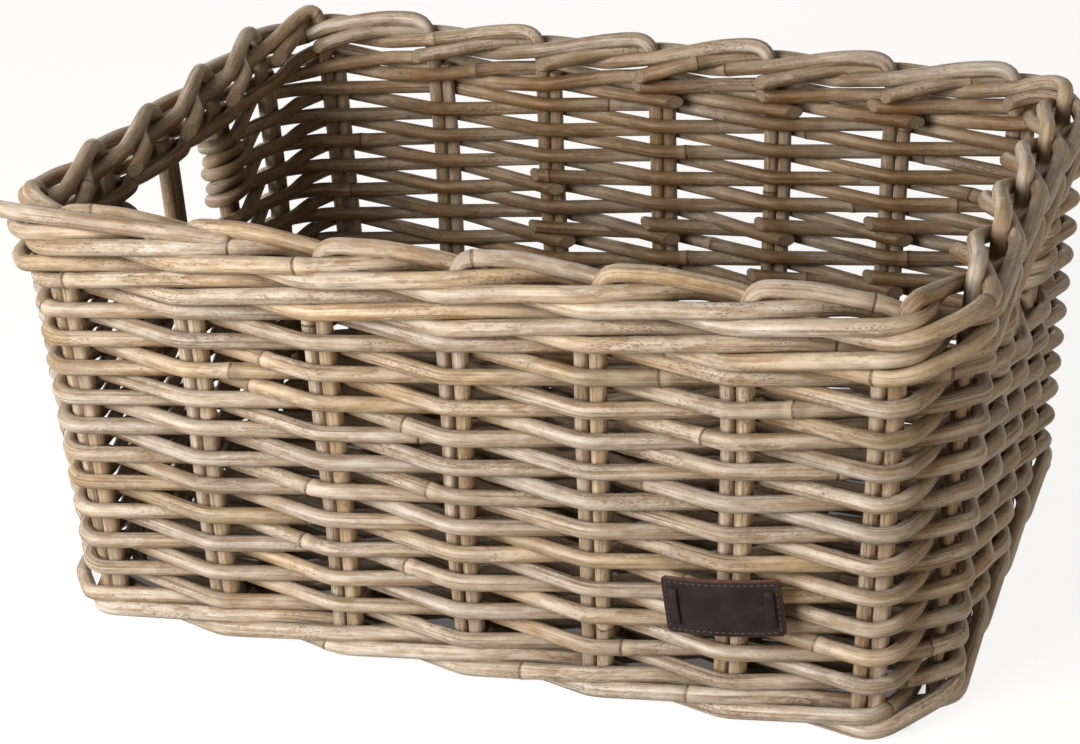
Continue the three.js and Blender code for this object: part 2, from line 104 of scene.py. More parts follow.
def stake_bearings():
    """Direction of every pair and of every gap's middle, on the plan drawn as deep as it is long: a pair's
    place along its own side over the half width, and the superellipse for the other coordinate. A corner
    gap's middle is the corner itself."""
    length, depth = half_widths(HEIGHT / 2)
    x = np.linspace(-1, 1, LONG_PAIRS) * (1 - LONG_INSET / length)
    y = np.linspace(-1, 1, END_PAIRS) * (1 - END_INSET / depth)
    half = np.concatenate([np.arctan2(-superellipse(x), x), np.arctan2(y, superellipse(y))])
    pairs = np.concatenate([half, half + np.pi])
    gaps = (pairs + np.append(pairs[1:], pairs[0] + 2 * np.pi)) / 2
    gaps[CORNER_GAPS] = np.pi * (np.arange(4) / 2 - 1 / 4)
    return np.stack([pairs, gaps], axis=1).ravel()


BEARINGS = stake_bearings()
half_steps = np.arange(-2 * PAIRS, 6 * PAIRS)
STEP_BEARINGS = BEARINGS[half_steps % (2 * PAIRS)] + half_steps // (2 * PAIRS) * 2 * np.pi
print("the front pairs' bearings:", np.degrees(BEARINGS[:2 * LONG_PAIRS:2]).round(1))

# %% Points of the wall
CORNER_EASE = 0.42


def unit(vectors):
    """Each vector over its own length."""
    return vectors / np.linalg.norm(vectors, axis=-1, keepdims=True)


def plan_place(u):
    """Cosine and sine of the bearing at u, which lies on a straight line between pairs and gap middles."""
    bearing = np.interp(2 * np.asarray(u, float), half_steps, STEP_BEARINGS)
    return np.cos(bearing), np.sin(bearing)


def wall_outward(u, z):
    """Direction straight out of the wall: the slope of the superellipse, level."""
    x, y = plan_place(u)
    length, depth = half_widths(z)
    power = SQUARENESS - 1
    return unit(np.stack([np.sign(x) * np.abs(x) ** power / length,
                          np.sign(y) * np.abs(y) ** power / depth, 0 * x], axis=-1))


def wall_onward(outward):
    """Direction along the wall to the right: a quarter turn from the outward one."""
    return np.stack([-outward[:, 1], outward[:, 0], 0 * outward[:, 0]], axis=1)


def wall_points(stops):
    """Points of the wall for rows of (pair, height, out, along): the superellipse at that height, plus the
    distance out along its slope and the distance along it to the right."""
    u, z, out, along = np.asarray(stops, float).T
    x, y = plan_place(u)
    reach = (np.abs(x) ** SQUARENESS + np.abs(y) ** SQUARENESS) ** (-1 / SQUARENESS)
    length, depth = half_widths(z)
    outward = wall_outward(u, z)
    middle = np.stack([x * reach * length, y * reach * depth, z], axis=1)
    return middle + outward * out[:, None] + wall_onward(outward) * along[:, None]


def eased_points(stops, ease=CORNER_EASE):
    """Points of the stops, where each corner's point gives way to two on the lines to its neighbours, a
    share of the way along, so that a rod goes round the corner in two easy bends."""
    points = wall_points(stops)
    corner = np.isin(np.asarray(stops, float)[:, 0] % PAIRS, CORNER_GAPS + 0.5)
    before = points + ease * (np.roll(points, 1, axis=0) - points)
    after = points + ease * (np.roll(points, -1, axis=0) - points)
    doubled = np.stack([np.where(corner[:, None], before, points), after], axis=1).reshape(-1, 3)
    return doubled[np.stack([np.ones(len(points), bool), corner], axis=1).ravel()]


front_places = wall_points([[pair, HEIGHT / 2, 0, 0] for pair in range(LONG_PAIRS)])[:, 0]
print("the front pairs stand at", front_places.round(), "mm")

# %% [markdown]
# A weaver passes in front of one pair and behind the next. How far it swings out is no free choice: it has
# to clear both rods of the pair on its way to the middle of the gap. Near a corner the gap is short, so a
# rod there starts from a share of its swing instead of from the wall's middle. On the end walls it then
# bends over the stake next to the corner and not over the pair's middle, which keeps it close to the corner.
# One swing for all would be simpler, but rods would then cut into stakes that stand close together.

# %% How far a rod swings past each pair
CONTACT = corner_radius + CLEARANCE + ROD / 2
CORNER_SHARE = 0.5
SWING_ROUNDS = 12
corner_turn = np.zeros(PAIRS)
corner_turn[CORNER_GAPS] = [1, -1, 1, -1]


def crossing(pair, before, after):
    """Distance out in the middle of the gap after a pair: nothing on a straight wall, and at a corner a
    share of the distance kept on the long wall's side."""
    turn = corner_turn[np.asarray(pair, int) % PAIRS]
    return CORNER_SHARE * np.where(turn > 0, before, np.where(turn < 0, after, 0.0))


def bend_shift(pair, out):
    """How far along from a pair's middle a rod bends: half the pair's pitch towards the corner, outside the
    end walls' last pairs, and nothing elsewhere."""
    place = np.asarray(pair, int) % BACK_START
    toward = np.where(place == RIGHT_START, -1.0, np.where(place == BACK_START - 1, 1.0, 0.0))
    return np.where(np.asarray(out) > 0, toward, 0.0) * PAIR_PITCH / 2


def swings(face):
    """Distance from the wall's middle past every pair, on its outer (1) or inner (-1) face: the tangent from
    the gap's middle to a circle of the contact distance round the stake, taken on both sides, the larger
    one. It is worked out a few times over, because the corner's share depends on the result."""
    pairs = np.arange(PAIRS, dtype=float)
    flat = np.zeros(PAIRS)
    here = wall_points(np.stack([pairs, flat, flat, flat], axis=1))
    outward = wall_outward(pairs, flat)
    onward = wall_onward(outward)
    swing = np.full(PAIRS, CONTACT)
    for _ in range(SWING_ROUNDS):
        out = face * swing
        sides = []
        for step, gap_out in ((-0.5, crossing(pairs - 1, -out, out)), (0.5, crossing(pairs, out, -out))):
            to_gap = wall_points(np.stack([pairs + step, flat, gap_out, flat], axis=1)) - here
            reach = np.abs((to_gap * onward).sum(axis=1))
            drop = -face * (to_gap * outward).sum(axis=1)
            run = reach - PAIR_PITCH / 2
            slope = np.arctan2(drop, run) + np.arcsin(CONTACT / np.hypot(drop, run))
            sides.append((reach - np.sign(step) * bend_shift(pairs, face)) * np.tan(slope) - drop)
        swing = np.maximum(*sides)
    return swing


OUTSIDE, INSIDE = swings(1), -swings(-1)


def outside(pair):
    """Distance out of a rod in front of a pair, counted round and round."""
    return OUTSIDE[np.asarray(pair, int) % PAIRS]


def inside(pair):
    """Distance out, below nothing, of a rod behind a pair."""
    return INSIDE[np.asarray(pair, int) % PAIRS]


print("a rod swings", OUTSIDE.round(1).min(), "to", OUTSIDE.round(1).max(), "mm out")

# %% [markdown]
# A soaked rod doesn't fold at a stake: it bends in a short curve and runs nearly straight to the next one.
# So its route starts as straight lines between the stops and is then smoothed by a bell-shaped running mean
# a few millimetres wide. A Bezier curve object could do this too, but plain arrays keep the length along
# the rod, which the finish needs for its fibres and growth rings.

# %% A rod's route
STEP = 2.6
FEWEST_STEPS = 12
BELL_REACH = 3


def walked(points):
    """Distance along a line of points: the running total of its steps."""
    return np.append(0, np.cumsum(np.linalg.norm(np.diff(points, axis=0), axis=1)))


def read_between(places, known, rows):
    """Rows at the given places, on straight lines between the rows at the known places."""
    return np.stack([np.interp(places, known, column) for column in rows.T], axis=1)


def rod_route(points, soft):
    """Points every STEP along the straight lines, then a running mean with bell-shaped weights, soft wide.
    The ends are mirrored through themselves first, so that they stay where they are."""
    reach = walked(points)
    places = np.linspace(0, reach[-1], max(int(reach[-1] / STEP), FEWEST_STEPS))
    line = read_between(places, reach, points)
    wide = min(int(BELL_REACH * soft / STEP) + 1, len(line) - 2)
    weights = np.exp(-0.5 * (np.arange(-wide, wide + 1) * STEP / soft) ** 2)
    head = 2 * line[0] - line[wide:0:-1]
    tail = 2 * line[-1] - line[-2:-wide - 2:-1]
    drawn = np.concatenate([head, line, tail])
    return np.stack([np.convolve(column, weights / weights.sum(), "valid") for column in drawn.T], axis=1)


trial = rod_route(np.array([[0.0, 0, 0], [90, 0, 0]]), 4.0)
print("a straight rod of 90 mm has", len(trial), "circles")

# %% [markdown]
# A rattan rod is no even pipe. Its thickness wanders, it swells at each growth ring, where a leaf sheath
# grew, and its ends are cut at a slant. A curve with a round bevel would be even all along. Here a circle is
# carried along the route as one array, so each circle has its own size. Each point also keeps what the
# finish reads: where it lies on the rod laid out straight, its growth ring, the rod's tone and the nearest
# cut end.

# %% Growth rings and thickness
WAVE_SHARES, WAVE_WEIGHTS = np.array([1.0, 0.61, 0.37]), np.array([0.5, 0.3, 0.2])
RING_GAPS, RING_OFFSET = (170, 480), 350
THICKNESS_WANDER, THICKNESS_WAVE = 0.035, 170
SWELLING, SWELLING_REACH = 0.32, 2.4
WAIST, WAIST_PLACE, WAIST_REACH = 0.1, 7, 4
END_SHARE = 0.86


def slow_wander(places, rng, wavelength):
    """A smooth random line about zero: three sines of nearby wavelengths with random phases."""
    waves = wavelength * WAVE_SHARES
    phases = rng.uniform(0, 2 * np.pi, len(waves))
    return np.sin(2 * np.pi * places[:, None] / waves + phases) @ WAVE_WEIGHTS


def rod_radius(along, thick, rng):
    """Half the thickness, which wanders by a few hundredths, plus a bell at each growth ring, less a wider
    one after it. With it comes the distance past the nearest ring, below nothing before it."""
    count = int(along[-1] / RING_GAPS[0]) + 3
    rings = np.cumsum(rng.uniform(*RING_GAPS, count)) - rng.uniform(0, RING_OFFSET)
    past = along[:, None] - rings
    past = np.take_along_axis(past, np.abs(past).argmin(axis=1)[:, None], axis=1)[:, 0]
    radius = thick / 2 * (1 + THICKNESS_WANDER * slow_wander(along, rng, THICKNESS_WAVE))
    bulge = SWELLING * np.exp(-(past / SWELLING_REACH) ** 2)
    radius += bulge - WAIST * np.exp(-((past - WAIST_PLACE) / WAIST_REACH) ** 2)
    radius[[0, -1]] *= END_SHARE
    return radius, past


print("growth rings lie", RING_GAPS, "mm apart and stand", SWELLING, "mm proud")

# %% What the finish reads at each point
RING_TILT, RING_TURN = 0.5, 6
TONE_WANDER, TONE_WAVE = 0.16, 420
FARTHEST_RING, FARTHEST_END = 60, 40
GRAIN_ROOM = 9000


def rod_marks(along, past, angle, thick, rng):
    """straight: the place on the rod laid out straight, moved to a random part of the grain. growth: the
    distance past the nearest ring, which lies a little askew, the rod's own tone with a slow wander, and the
    distance to the nearest cut end, below nothing on the cut face. The last two points are the middles of
    the cut faces."""
    tilt = rng.uniform(-RING_TILT, RING_TILT) * np.cos(angle + rng.uniform(0, RING_TURN))
    tone = rng.uniform(0, 1) + TONE_WANDER * slow_wander(along, rng, TONE_WAVE)
    end = np.minimum(np.minimum(along, along[-1] - along), FARTHEST_END)
    ring = np.clip(past, -FARTHEST_RING, FARTHEST_RING)[:, None] + tilt
    round_place = (thick / 2 * np.cos(angle), thick / 2 * np.sin(angle))
    straight = np.stack(np.broadcast_arrays(*round_place, along[:, None]), axis=2).reshape(-1, 3)
    growth = np.stack(np.broadcast_arrays(ring, tone[:, None], end[:, None]), axis=2).reshape(-1, 3)
    straight = np.concatenate([straight, [[0, 0, along[0]], [0, 0, along[-1]]]])
    faces = [[FARTHEST_RING, tone[0], -thick / 2], [FARTHEST_RING, tone[-1], -thick / 2]]
    return {"straight": straight + rng.uniform(0, GRAIN_ROOM, 3), "growth": np.concatenate([growth, faces])}


print("a rod's tone wanders by", TONE_WANDER, "over", TONE_WAVE, "mm")

# %% A rod's round surface
SIDES = 14
NEAR_END = 0.25
SLANT_LENGTH = 9


def rod_frame(points, facing, soft):
    """The route with one more point close to each end, the distance along it, its direction forward, and two
    directions across it: the first is the facing less its share forward, the second square to both."""
    route = rod_route(np.asarray(points, float), soft)
    head, tail = route[:1], route[-1:]
    route = np.concatenate([head, head + NEAR_END * (route[1:2] - head), route[1:-1],
                            tail + NEAR_END * (route[-2:-1] - tail), tail])
    along = walked(route)
    forward = unit(np.gradient(route, axis=0))
    facing = np.broadcast_to(facing, (2, 3)) if np.ndim(facing) == 1 else facing
    facing = read_between(along / along[-1], np.linspace(0, 1, len(facing)), facing)
    first = unit(facing - forward * (facing * forward).sum(axis=1, keepdims=True))
    return route, along, forward, first, np.cross(forward, first)


def ring_grid(rings, count):
    """Numbers of the points ring by ring, the same one point on, and the quads between neighbour rings."""
    grid = np.arange(rings * count).reshape(rings, count)
    turned = np.roll(grid, -1, axis=1)
    return grid, turned, np.stack([grid[:-1], turned[:-1], turned[1:], grid[1:]], axis=2).reshape(-1, 4)


def rod_surface(points, facing, rng, thick=8.0, soft=4.0, cut=(0, 0, 0)):
    """A circle carried along the route, with a fan of triangles on each end. An end can be cut at a slant
    that looks towards the direction cut, one for both ends or one each: points on that side are drawn back
    along the rod, by less and less over the slant's length."""
    route, along, forward, first, second = rod_frame(points, facing, soft)
    radius, past = rod_radius(along, thick, rng)
    angle = np.linspace(0, 2 * np.pi, SIDES, endpoint=False)
    ring = np.cos(angle)[:, None] * first[:, None] + np.sin(angle)[:, None] * second[:, None]
    surface = route[:, None] + ring * radius[:, None, None]
    head_cut, tail_cut = np.broadcast_to(np.asarray(cut, float), (2, 3))
    slant = (ring @ head_cut) * np.clip(1 - along / SLANT_LENGTH, 0, 1)[:, None]
    slant -= (ring @ tail_cut) * np.clip(1 - (along[-1] - along) / SLANT_LENGTH, 0, 1)[:, None]
    surface = surface + forward[:, None] * (slant * radius[:, None])[:, :, None]
    surface = np.concatenate([surface.reshape(-1, 3), route[[0, -1]]])
    grid, turned, quads = ring_grid(len(along), SIDES)
    head_fan = np.stack([turned[0], grid[0], np.full(SIDES, grid.size)], axis=1)
    tail_fan = np.stack([grid[-1], turned[-1], np.full(SIDES, grid.size + 1)], axis=1)
    return {"points": surface, "quads": quads, "caps": np.concatenate([head_fan, tail_fan]),
            **rod_marks(along, past, angle, thick, rng)}


print("each circle has", SIDES, "points, and an end is cut over", SLANT_LENGTH, "mm")

# %% [markdown]
# Several rods can make one piece, such as the two rods of a stake pair. Their arrays are put end to end,
# with the corner numbers moved on, and go into the mesh in one call each. That is much quicker than adding
# points one by one. Sun and rain bleach what they reach, and the inside of a basket stays darker. So each
# point also gets a share of bleaching and painted light, from how far out of the wall it lies: a low share
# darkens the colour, which is painted shade as well as less bleaching.

# %% From arrays to a piece of the basket
MM = 0.001
# Share of bleaching and painted light: inside the wall and on the base a low share darkens the colour, as
# painted shade and as less bleaching; the rim's top gets the full share.
BLEACH_AND_SHADE_INNER, BLEACH_AND_SHADE_OUTER, RIM_BLEACH_AND_LIGHT = 12, 6, 18
BASE_DISTANCE, BASE_BLEACH_AND_SHADE = 20, 0.5
made = {"pieces": 0, "triangles": 0}


def bleach_and_painted_light_share(points):
    """Distance out from the superellipse, as a share from a little inside to a little outside, and more
    towards the top of the rim, up to the full share. The base, far inside, gets an even share. It is a share
    of bleaching and painted light: where it is low, the colour is darkened as painted shade and as less
    bleaching."""
    x, y, z = points.T
    length, depth = half_widths(z)
    x, y = np.abs(x) / length, np.abs(y) / depth
    out = ((x ** SQUARENESS + y ** SQUARENESS) ** (1 / SQUARENESS) - 1) * np.where(x > y, length, depth)
    wall = (out + BLEACH_AND_SHADE_INNER) / (BLEACH_AND_SHADE_INNER + BLEACH_AND_SHADE_OUTER)
    share = np.clip(np.maximum(wall, (z - RIM_LEVEL + RIM_BLEACH_AND_LIGHT) / RIM_BLEACH_AND_LIGHT), 0, 1)
    return np.where(out < -BASE_DISTANCE, BASE_BLEACH_AND_SHADE, share)


def place_piece(name, mesh, node, material):
    """A mesh becomes a piece of the basket, and stands for a solid of the frame where one is named."""
    mesh.materials.append(material)
    piece = bpy.data.objects.new(name, mesh)
    bpy.context.scene.collection.objects.link(piece)
    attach(piece, "root")
    if node:
        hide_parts(node)
    made["pieces"] += 1
    made["triangles"] += len(mesh.loops) - 2 * len(mesh.polygons)


def woven_piece(name, rods, node, material):
    """One mesh from the arrays of its rods, put end to end: smooth quads, then flat caps."""
    starts = np.cumsum([0] + [len(rod["points"]) for rod in rods])
    quads = np.concatenate([rod["quads"] + start for rod, start in zip(rods, starts)])
    caps = np.concatenate([rod["caps"] + start for rod, start in zip(rods, starts)])
    points = np.concatenate([rod["points"] for rod in rods]) * MM
    corners = np.concatenate([quads.ravel(), caps.ravel()]).astype(np.int32)
    loops = np.concatenate([np.arange(len(quads)) * 4, len(quads) * 4 + np.arange(len(caps)) * 3])
    mesh = bpy.data.meshes.new(name)
    mesh.vertices.add(len(points))
    mesh.vertices.foreach_set("co", points.astype(np.float32).ravel())
    mesh.loops.add(len(corners))
    mesh.loops.foreach_set("vertex_index", corners)
    mesh.polygons.add(len(loops))
    mesh.polygons.foreach_set("loop_start", loops.astype(np.int32))
    mesh.polygons.foreach_set("use_smooth", np.arange(len(loops)) < len(quads))
    for key, size in (("straight", MM), ("growth", 1.0)):
        values = np.concatenate([rod[key] for rod in rods]) * size
        layer = mesh.attributes.new(key, "FLOAT_VECTOR", "POINT")
        layer.data.foreach_set("vector", values.astype(np.float32).ravel())
    # The share of bleaching and painted light: a low share is painted shade inside the wall and on the base,
    # as well as less bleaching.
    bleach_and_shade = bleach_and_painted_light_share(points / MM).astype(np.float32)
    mesh.attributes.new("bleach_and_shade", "FLOAT", "POINT").data.foreach_set("value", bleach_and_shade)
    mesh.update(calc_edges=True)
    mesh.validate()
    place_piece(name, mesh, node, material)


print("no pieces yet:", made)

# %% [markdown]
# A finish is a tree of nodes: noises and steps that lead to a colour, a roughness and a bump. Placing each
# node takes several calls, so a few short helpers do it. Their names say what a node gives, and a finish
# then reads like a recipe.

# %% Small helpers for node trees
def empty_tree(block):
    """The node tree of a material or of the world, with nothing in it."""
    block.use_nodes = True
    block.node_tree.nodes.clear()
    return block.node_tree


def put(tree, kind, sockets=(), **settings):
    """One node, with its settings by name and its sockets by name or number, each a value or a link."""
    node = tree.nodes.new("ShaderNode" + kind)
    for key, value in settings.items():
        setattr(node, key, value)
    for key, value in dict(sockets).items():
        if isinstance(value, bpy.types.NodeSocket):
            tree.links.new(value, node.inputs[key])
        else:
            node.inputs[key].default_value = value
    return node


def reckon(tree, operation, *values):
    """A Math node of up to three values."""
    return put(tree, "Math", dict(enumerate(values)), operation=operation).outputs[0]


def plus(tree, one, other):
    """One value and the other."""
    return reckon(tree, "ADD", one, other)


def minus(tree, one, other):
    """One value less the other."""
    return reckon(tree, "SUBTRACT", one, other)


def times(tree, one, other):
    """One value times the other."""
    return reckon(tree, "MULTIPLY", one, other)


def rise(tree, value, low, high, start=0.0, end=1.0):
    """Smooth step: start before low, end past high, also where high is the smaller one."""
    sockets = {0: value, 1: low, 2: high, 3: start, 4: end}
    return put(tree, "MapRange", sockets, interpolation_type="SMOOTHSTEP").outputs[0]


def blend_colour(tree, factor, below, above, kind="MIX"):
    """A mix of two colours by a factor. A colour is a link or three numbers."""
    below, above = (colour if isinstance(colour, bpy.types.NodeSocket) else (*colour, 1)
                    for colour in (below, above))
    sockets = {0: factor, 6: below, 7: above}
    return put(tree, "Mix", sockets, data_type="RGBA", blend_type=kind).outputs[2]


def lay_over(tree, colour, other, mask, share):
    """Another colour laid over the first one where the mask is, by a share."""
    return blend_colour(tree, times(tree, mask, share), colour, other)


def grain_noise(tree, place, stretch, scale, detail=3.0, roughness=0.55):
    """Noise on the straight rod, drawn out along it by the given share."""
    drawn = put(tree, "Mapping", {"Vector": place, "Scale": (1, 1, stretch)}).outputs[0]
    sockets = {"Vector": drawn, "Scale": scale, "Detail": detail, "Roughness": roughness}
    return put(tree, "TexNoise", sockets).outputs["Fac"]


def tone_ramp(tree, factor, stops):
    """A colour ramp from (place, colour) stops."""
    node = put(tree, "ValToRGB", {0: factor})
    while len(node.color_ramp.elements) < len(stops):
        node.color_ramp.elements.new(0.5)
    for element, (place, colour) in zip(node.color_ramp.elements, stops):
        element.position = place
        element.color = (*colour, 1)
    return node.outputs[0]


def shade_surface(tree, colour, rough, height, bump, specular=0.5):
    """The last nodes of a finish: a bump of (strength, distance), and the shader that takes all of it."""
    strength, distance = bump
    normal = put(tree, "Bump", {"Strength": strength, "Distance": distance, "Height": height}).outputs[0]
    shader = put(tree, "BsdfPrincipled", {"Base Color": colour, "Roughness": rough, "Normal": normal,
                                          "Specular IOR Level": specular})
    put(tree, "OutputMaterial", {"Surface": shader.outputs[0]})
    print("a finish of", len(tree.nodes), "nodes")


# %% [markdown]
# Rattan that has been soaked, dried and left in the weather is never one colour. Under the honey of the
# bare wood lie grey and olive tones that differ from rod to rod, and long fibre streaks. An image texture
# could show this, but nodes that read the place on the straight rod follow every bend without a seam.

# %% The tone of a rod and its streaks
STREAK_SHADOW, STREAK_SILVER = (0.56, 0.475, 0.35), (1.15, 1.26, 1.38)
DRIFT = 0.9


def rod_fields(tree):
    """What the steps of the finish share: the marks on the mesh, and noises drawn out along the rod."""
    place = put(tree, "Attribute", attribute_name="straight").outputs["Vector"]
    growth = put(tree, "Attribute", attribute_name="growth").outputs["Vector"]
    ring, tone, end = put(tree, "SeparateXYZ", {0: growth}).outputs
    # The share of bleaching and painted light, which darkens the inside as painted shade.
    bleach_and_shade = put(tree, "Attribute", attribute_name="bleach_and_shade").outputs["Fac"]
    return {"place": place, "ring": ring, "tone": tone, "end": end, "bleach_and_shade": bleach_and_shade,
            "streaks": grain_noise(tree, place, stretch=0.03, scale=420, detail=3, roughness=0.6),
            "fibres": grain_noise(tree, place, stretch=0.018, scale=1500, detail=2, roughness=0.6),
            "mottling": grain_noise(tree, place, stretch=0.3, scale=260, detail=4, roughness=0.7),
            "clusters": grain_noise(tree, place, stretch=0.35, scale=75, detail=3)}


def streaked_tone(tree, rod, tones):
    """A ramp of tones, read at the rod's own tone plus a slow drift, times a shade from brown shadow to
    silver that adds up streaks, fibres and mottling."""
    drift = grain_noise(tree, rod["place"], stretch=0.25, scale=28, detail=2)
    tone = reckon(tree, "MULTIPLY_ADD", minus(tree, drift, 0.5), DRIFT, rod["tone"])
    shade = plus(tree, rise(tree, rod["streaks"], 0.3, 0.7, -0.1, 0.6),
                 rise(tree, rod["fibres"], 0.3, 0.7, -0.15, 0.15))
    shade = plus(tree, shade, rise(tree, rod["mottling"], 0.36, 0.64, 0.0, 0.5))
    silver = blend_colour(tree, shade, STREAK_SHADOW, STREAK_SILVER)
    return blend_colour(tree, 1.0, tone_ramp(tree, tone, tones), silver, "MULTIPLY")


print("streaks go from", STREAK_SHADOW, "to", STREAK_SILVER, "times the tone")

# %% [markdown]
# The skin of old rattan flakes off in patches and shows straw below, with a dark line where it is torn.
# Brown specks sit close together in some places, and there are rubbed spots and fine cracks along the
# fibres. They could be painted by hand, but a mask does for any rod: a noise or a cell pattern that passes
# a limit, laid over the tone.

# %% Flakes, specks, scuffs and cracks
FLAKE_WIDTH, TORN_WIDTH, RAGGEDNESS = 0.045, 0.035, 0.35
TORN_EDGE, STRAW_DARK, STRAW_PALE = (0.13, 0.085, 0.05), (0.38, 0.29, 0.2), (0.62, 0.52, 0.41)
SPECK, SCUFF, CRACK = (0.11, 0.068, 0.038), (0.15, 0.095, 0.056), (0.11, 0.07, 0.04)
SPECK_SCALE, SPECK_STRETCH, SPECK_SPREAD, SPECK_CHOICE = 1250.0, 0.4, 0.3, 0.13


def flaked_skin(tree, rod, colour, limit):
    """Straw where a slow noise with a mottled edge passes the limit, and a dark edge just before it."""
    patch = grain_noise(tree, rod["place"], stretch=0.22, scale=60, detail=2)
    torn = plus(tree, patch, times(tree, minus(tree, rod["mottling"], 0.5), RAGGEDNESS))
    bare = rise(tree, torn, limit, limit + FLAKE_WIDTH)
    edge = times(tree, rise(tree, torn, limit - TORN_WIDTH, limit), minus(tree, 1.0, bare))
    colour = lay_over(tree, colour, TORN_EDGE, edge, 0.35)
    straw = blend_colour(tree, rod["streaks"], STRAW_DARK, STRAW_PALE)
    return lay_over(tree, colour, straw, bare, 0.6), bare


def specks_and_cracks(tree, rod, colour):
    """Specks: the middles of cells, of a size by chance, in clusters. Scuffs and cracks: the peaks of a fine
    noise and of a long thin one, in the same clusters."""
    drawn = put(tree, "Mapping", {"Vector": rod["place"], "Scale": (1, 1, SPECK_STRETCH)}).outputs[0]
    cells = put(tree, "TexVoronoi", {"Vector": drawn, "Scale": SPECK_SCALE}).outputs
    chosen, size, _ = put(tree, "SeparateXYZ", {0: cells["Color"]}).outputs
    speck = rise(tree, reckon(tree, "MULTIPLY_ADD", size, -SPECK_SPREAD, cells["Distance"]), 0.26, 0.08)
    crowd = reckon(tree, "MULTIPLY_ADD", chosen, SPECK_CHOICE, rod["clusters"])
    speck = times(tree, speck, rise(tree, crowd, 0.6, 0.7))
    colour = lay_over(tree, colour, SPECK, speck, 0.6)
    scuffs = grain_noise(tree, rod["place"], stretch=0.16, scale=1100, detail=5, roughness=0.72)
    scuff = times(tree, rise(tree, scuffs, 0.5, 0.68), rise(tree, rod["clusters"], 0.4, 0.62))
    colour = lay_over(tree, colour, SCUFF, scuff, 0.6)
    cracks = grain_noise(tree, rod["place"], stretch=0.008, scale=700, detail=2, roughness=0.45)
    crack = times(tree, rise(tree, cracks, 0.6, 0.67), rise(tree, rod["clusters"], 0.36, 0.56))
    return lay_over(tree, colour, CRACK, crack, 0.55), speck, crack


print("specks are about", round(1000 / SPECK_SCALE, 1), "mm apart")

# %% [markdown]
# A growth ring is a dark line round the rod, with a pale collar after it and a brown stain before it. A
# wave texture would put rings at even distances. The mesh carries each point's distance past its own ring,
# so steps of that distance draw them where the rod swells. A cut end shows pith with open pores, and it is
# soiled at its edge. Inside the wall and on the base the colour is darkened to brown, as painted shade and as
# less bleaching.

# %% Rings, weather and cut ends
RING_LINE, COLLAR, STAIN = (0.07, 0.042, 0.024), (0.6, 0.47, 0.33), (0.2, 0.13, 0.075)
RING_WAVER = 2.4
# Painted shade: the brown that multiplies the colour inside the wall and on the base stands for shade as well
# as less bleaching.
PAINTED_SHADE_UNBLEACHED, LIT_AND_BLEACHED = (0.42, 0.295, 0.145), (1, 1, 1)
PORE, PITH = (0.17, 0.11, 0.065), (0.38, 0.285, 0.185)
END_SOIL, DUST = (0.16, 0.1, 0.06), (0.14, 0.095, 0.06)


def ringed(tree, rod, colour):
    """Line, collar and stain by the distance in millimetres past the ring, which mottling makes waver."""
    past = reckon(tree, "MULTIPLY_ADD", minus(tree, rod["mottling"], 0.5), RING_WAVER, rod["ring"])
    line = rise(tree, reckon(tree, "ABSOLUTE", past), 0.95, 0.35)
    collar = times(tree, rise(tree, past, 0.4, 1.2), rise(tree, past, 6.5, 3.0))
    stain = times(tree, rise(tree, past, -9.0, -0.6), rise(tree, past, 0.4, -0.4))
    colour = lay_over(tree, colour, COLLAR, collar, 0.4)
    colour = lay_over(tree, colour, STAIN, stain, 0.45)
    worn = times(tree, line, rise(tree, rod["mottling"], 0.35, 0.6, 0.3, 0.9))
    return blend_colour(tree, worn, colour, RING_LINE), line


def painted_shade_and_wear(tree, rod, colour, grime):
    """The colour times a brown by the share of bleaching and painted light, which is painted shade inside the
    wall as well as less bleaching, then pith on cut faces, soil near them and dust.
    """
    # Painted shade, with less bleaching: a low share darkens the colour to brown.
    shade_and_bleach = blend_colour(tree, rod["bleach_and_shade"], PAINTED_SHADE_UNBLEACHED, LIT_AND_BLEACHED)
    colour = blend_colour(tree, 1.0, colour, shade_and_bleach, "MULTIPLY")
    cut = rise(tree, rod["end"], -0.15, -0.5)
    pores = grain_noise(tree, rod["place"], stretch=0.0, scale=1900, detail=2)
    pith = blend_colour(tree, rise(tree, pores, 0.4, 0.6), PORE, PITH)
    colour = blend_colour(tree, cut, colour, pith)
    soil = times(tree, rise(tree, rod["end"], 7.0, 0.5), minus(tree, 1.0, cut))
    colour = lay_over(tree, colour, END_SOIL, soil, 0.35)
    dust = grain_noise(tree, rod["place"], stretch=0.5, scale=22, detail=3)
    return blend_colour(tree, rise(tree, dust, 0.5, 0.8, 0.0, grime), colour, DUST)


# The brown of painted shade and less bleaching.
print("a sheltered rod is", PAINTED_SHADE_UNBLEACHED, "times its tone")

# %% [markdown]
# The steps come together in one finish. Its bump has the streaks and fibres raised, and the flakes, specks,
# cracks and ring lines sunk. Weavers, stakes, waling and base have the same finish with other tones, because
# they were cut from different bundles and have had more or less sun.

# %% The rattan finish
RATTAN_BUMP, RATTAN_SPECULAR = (0.6, 0.00035), 0.4
FLAKE_DEPTH, SPECK_DEPTH, CRACK_DEPTH, LINE_DEPTH = 0.5, 1.0, 1.5, 1.6


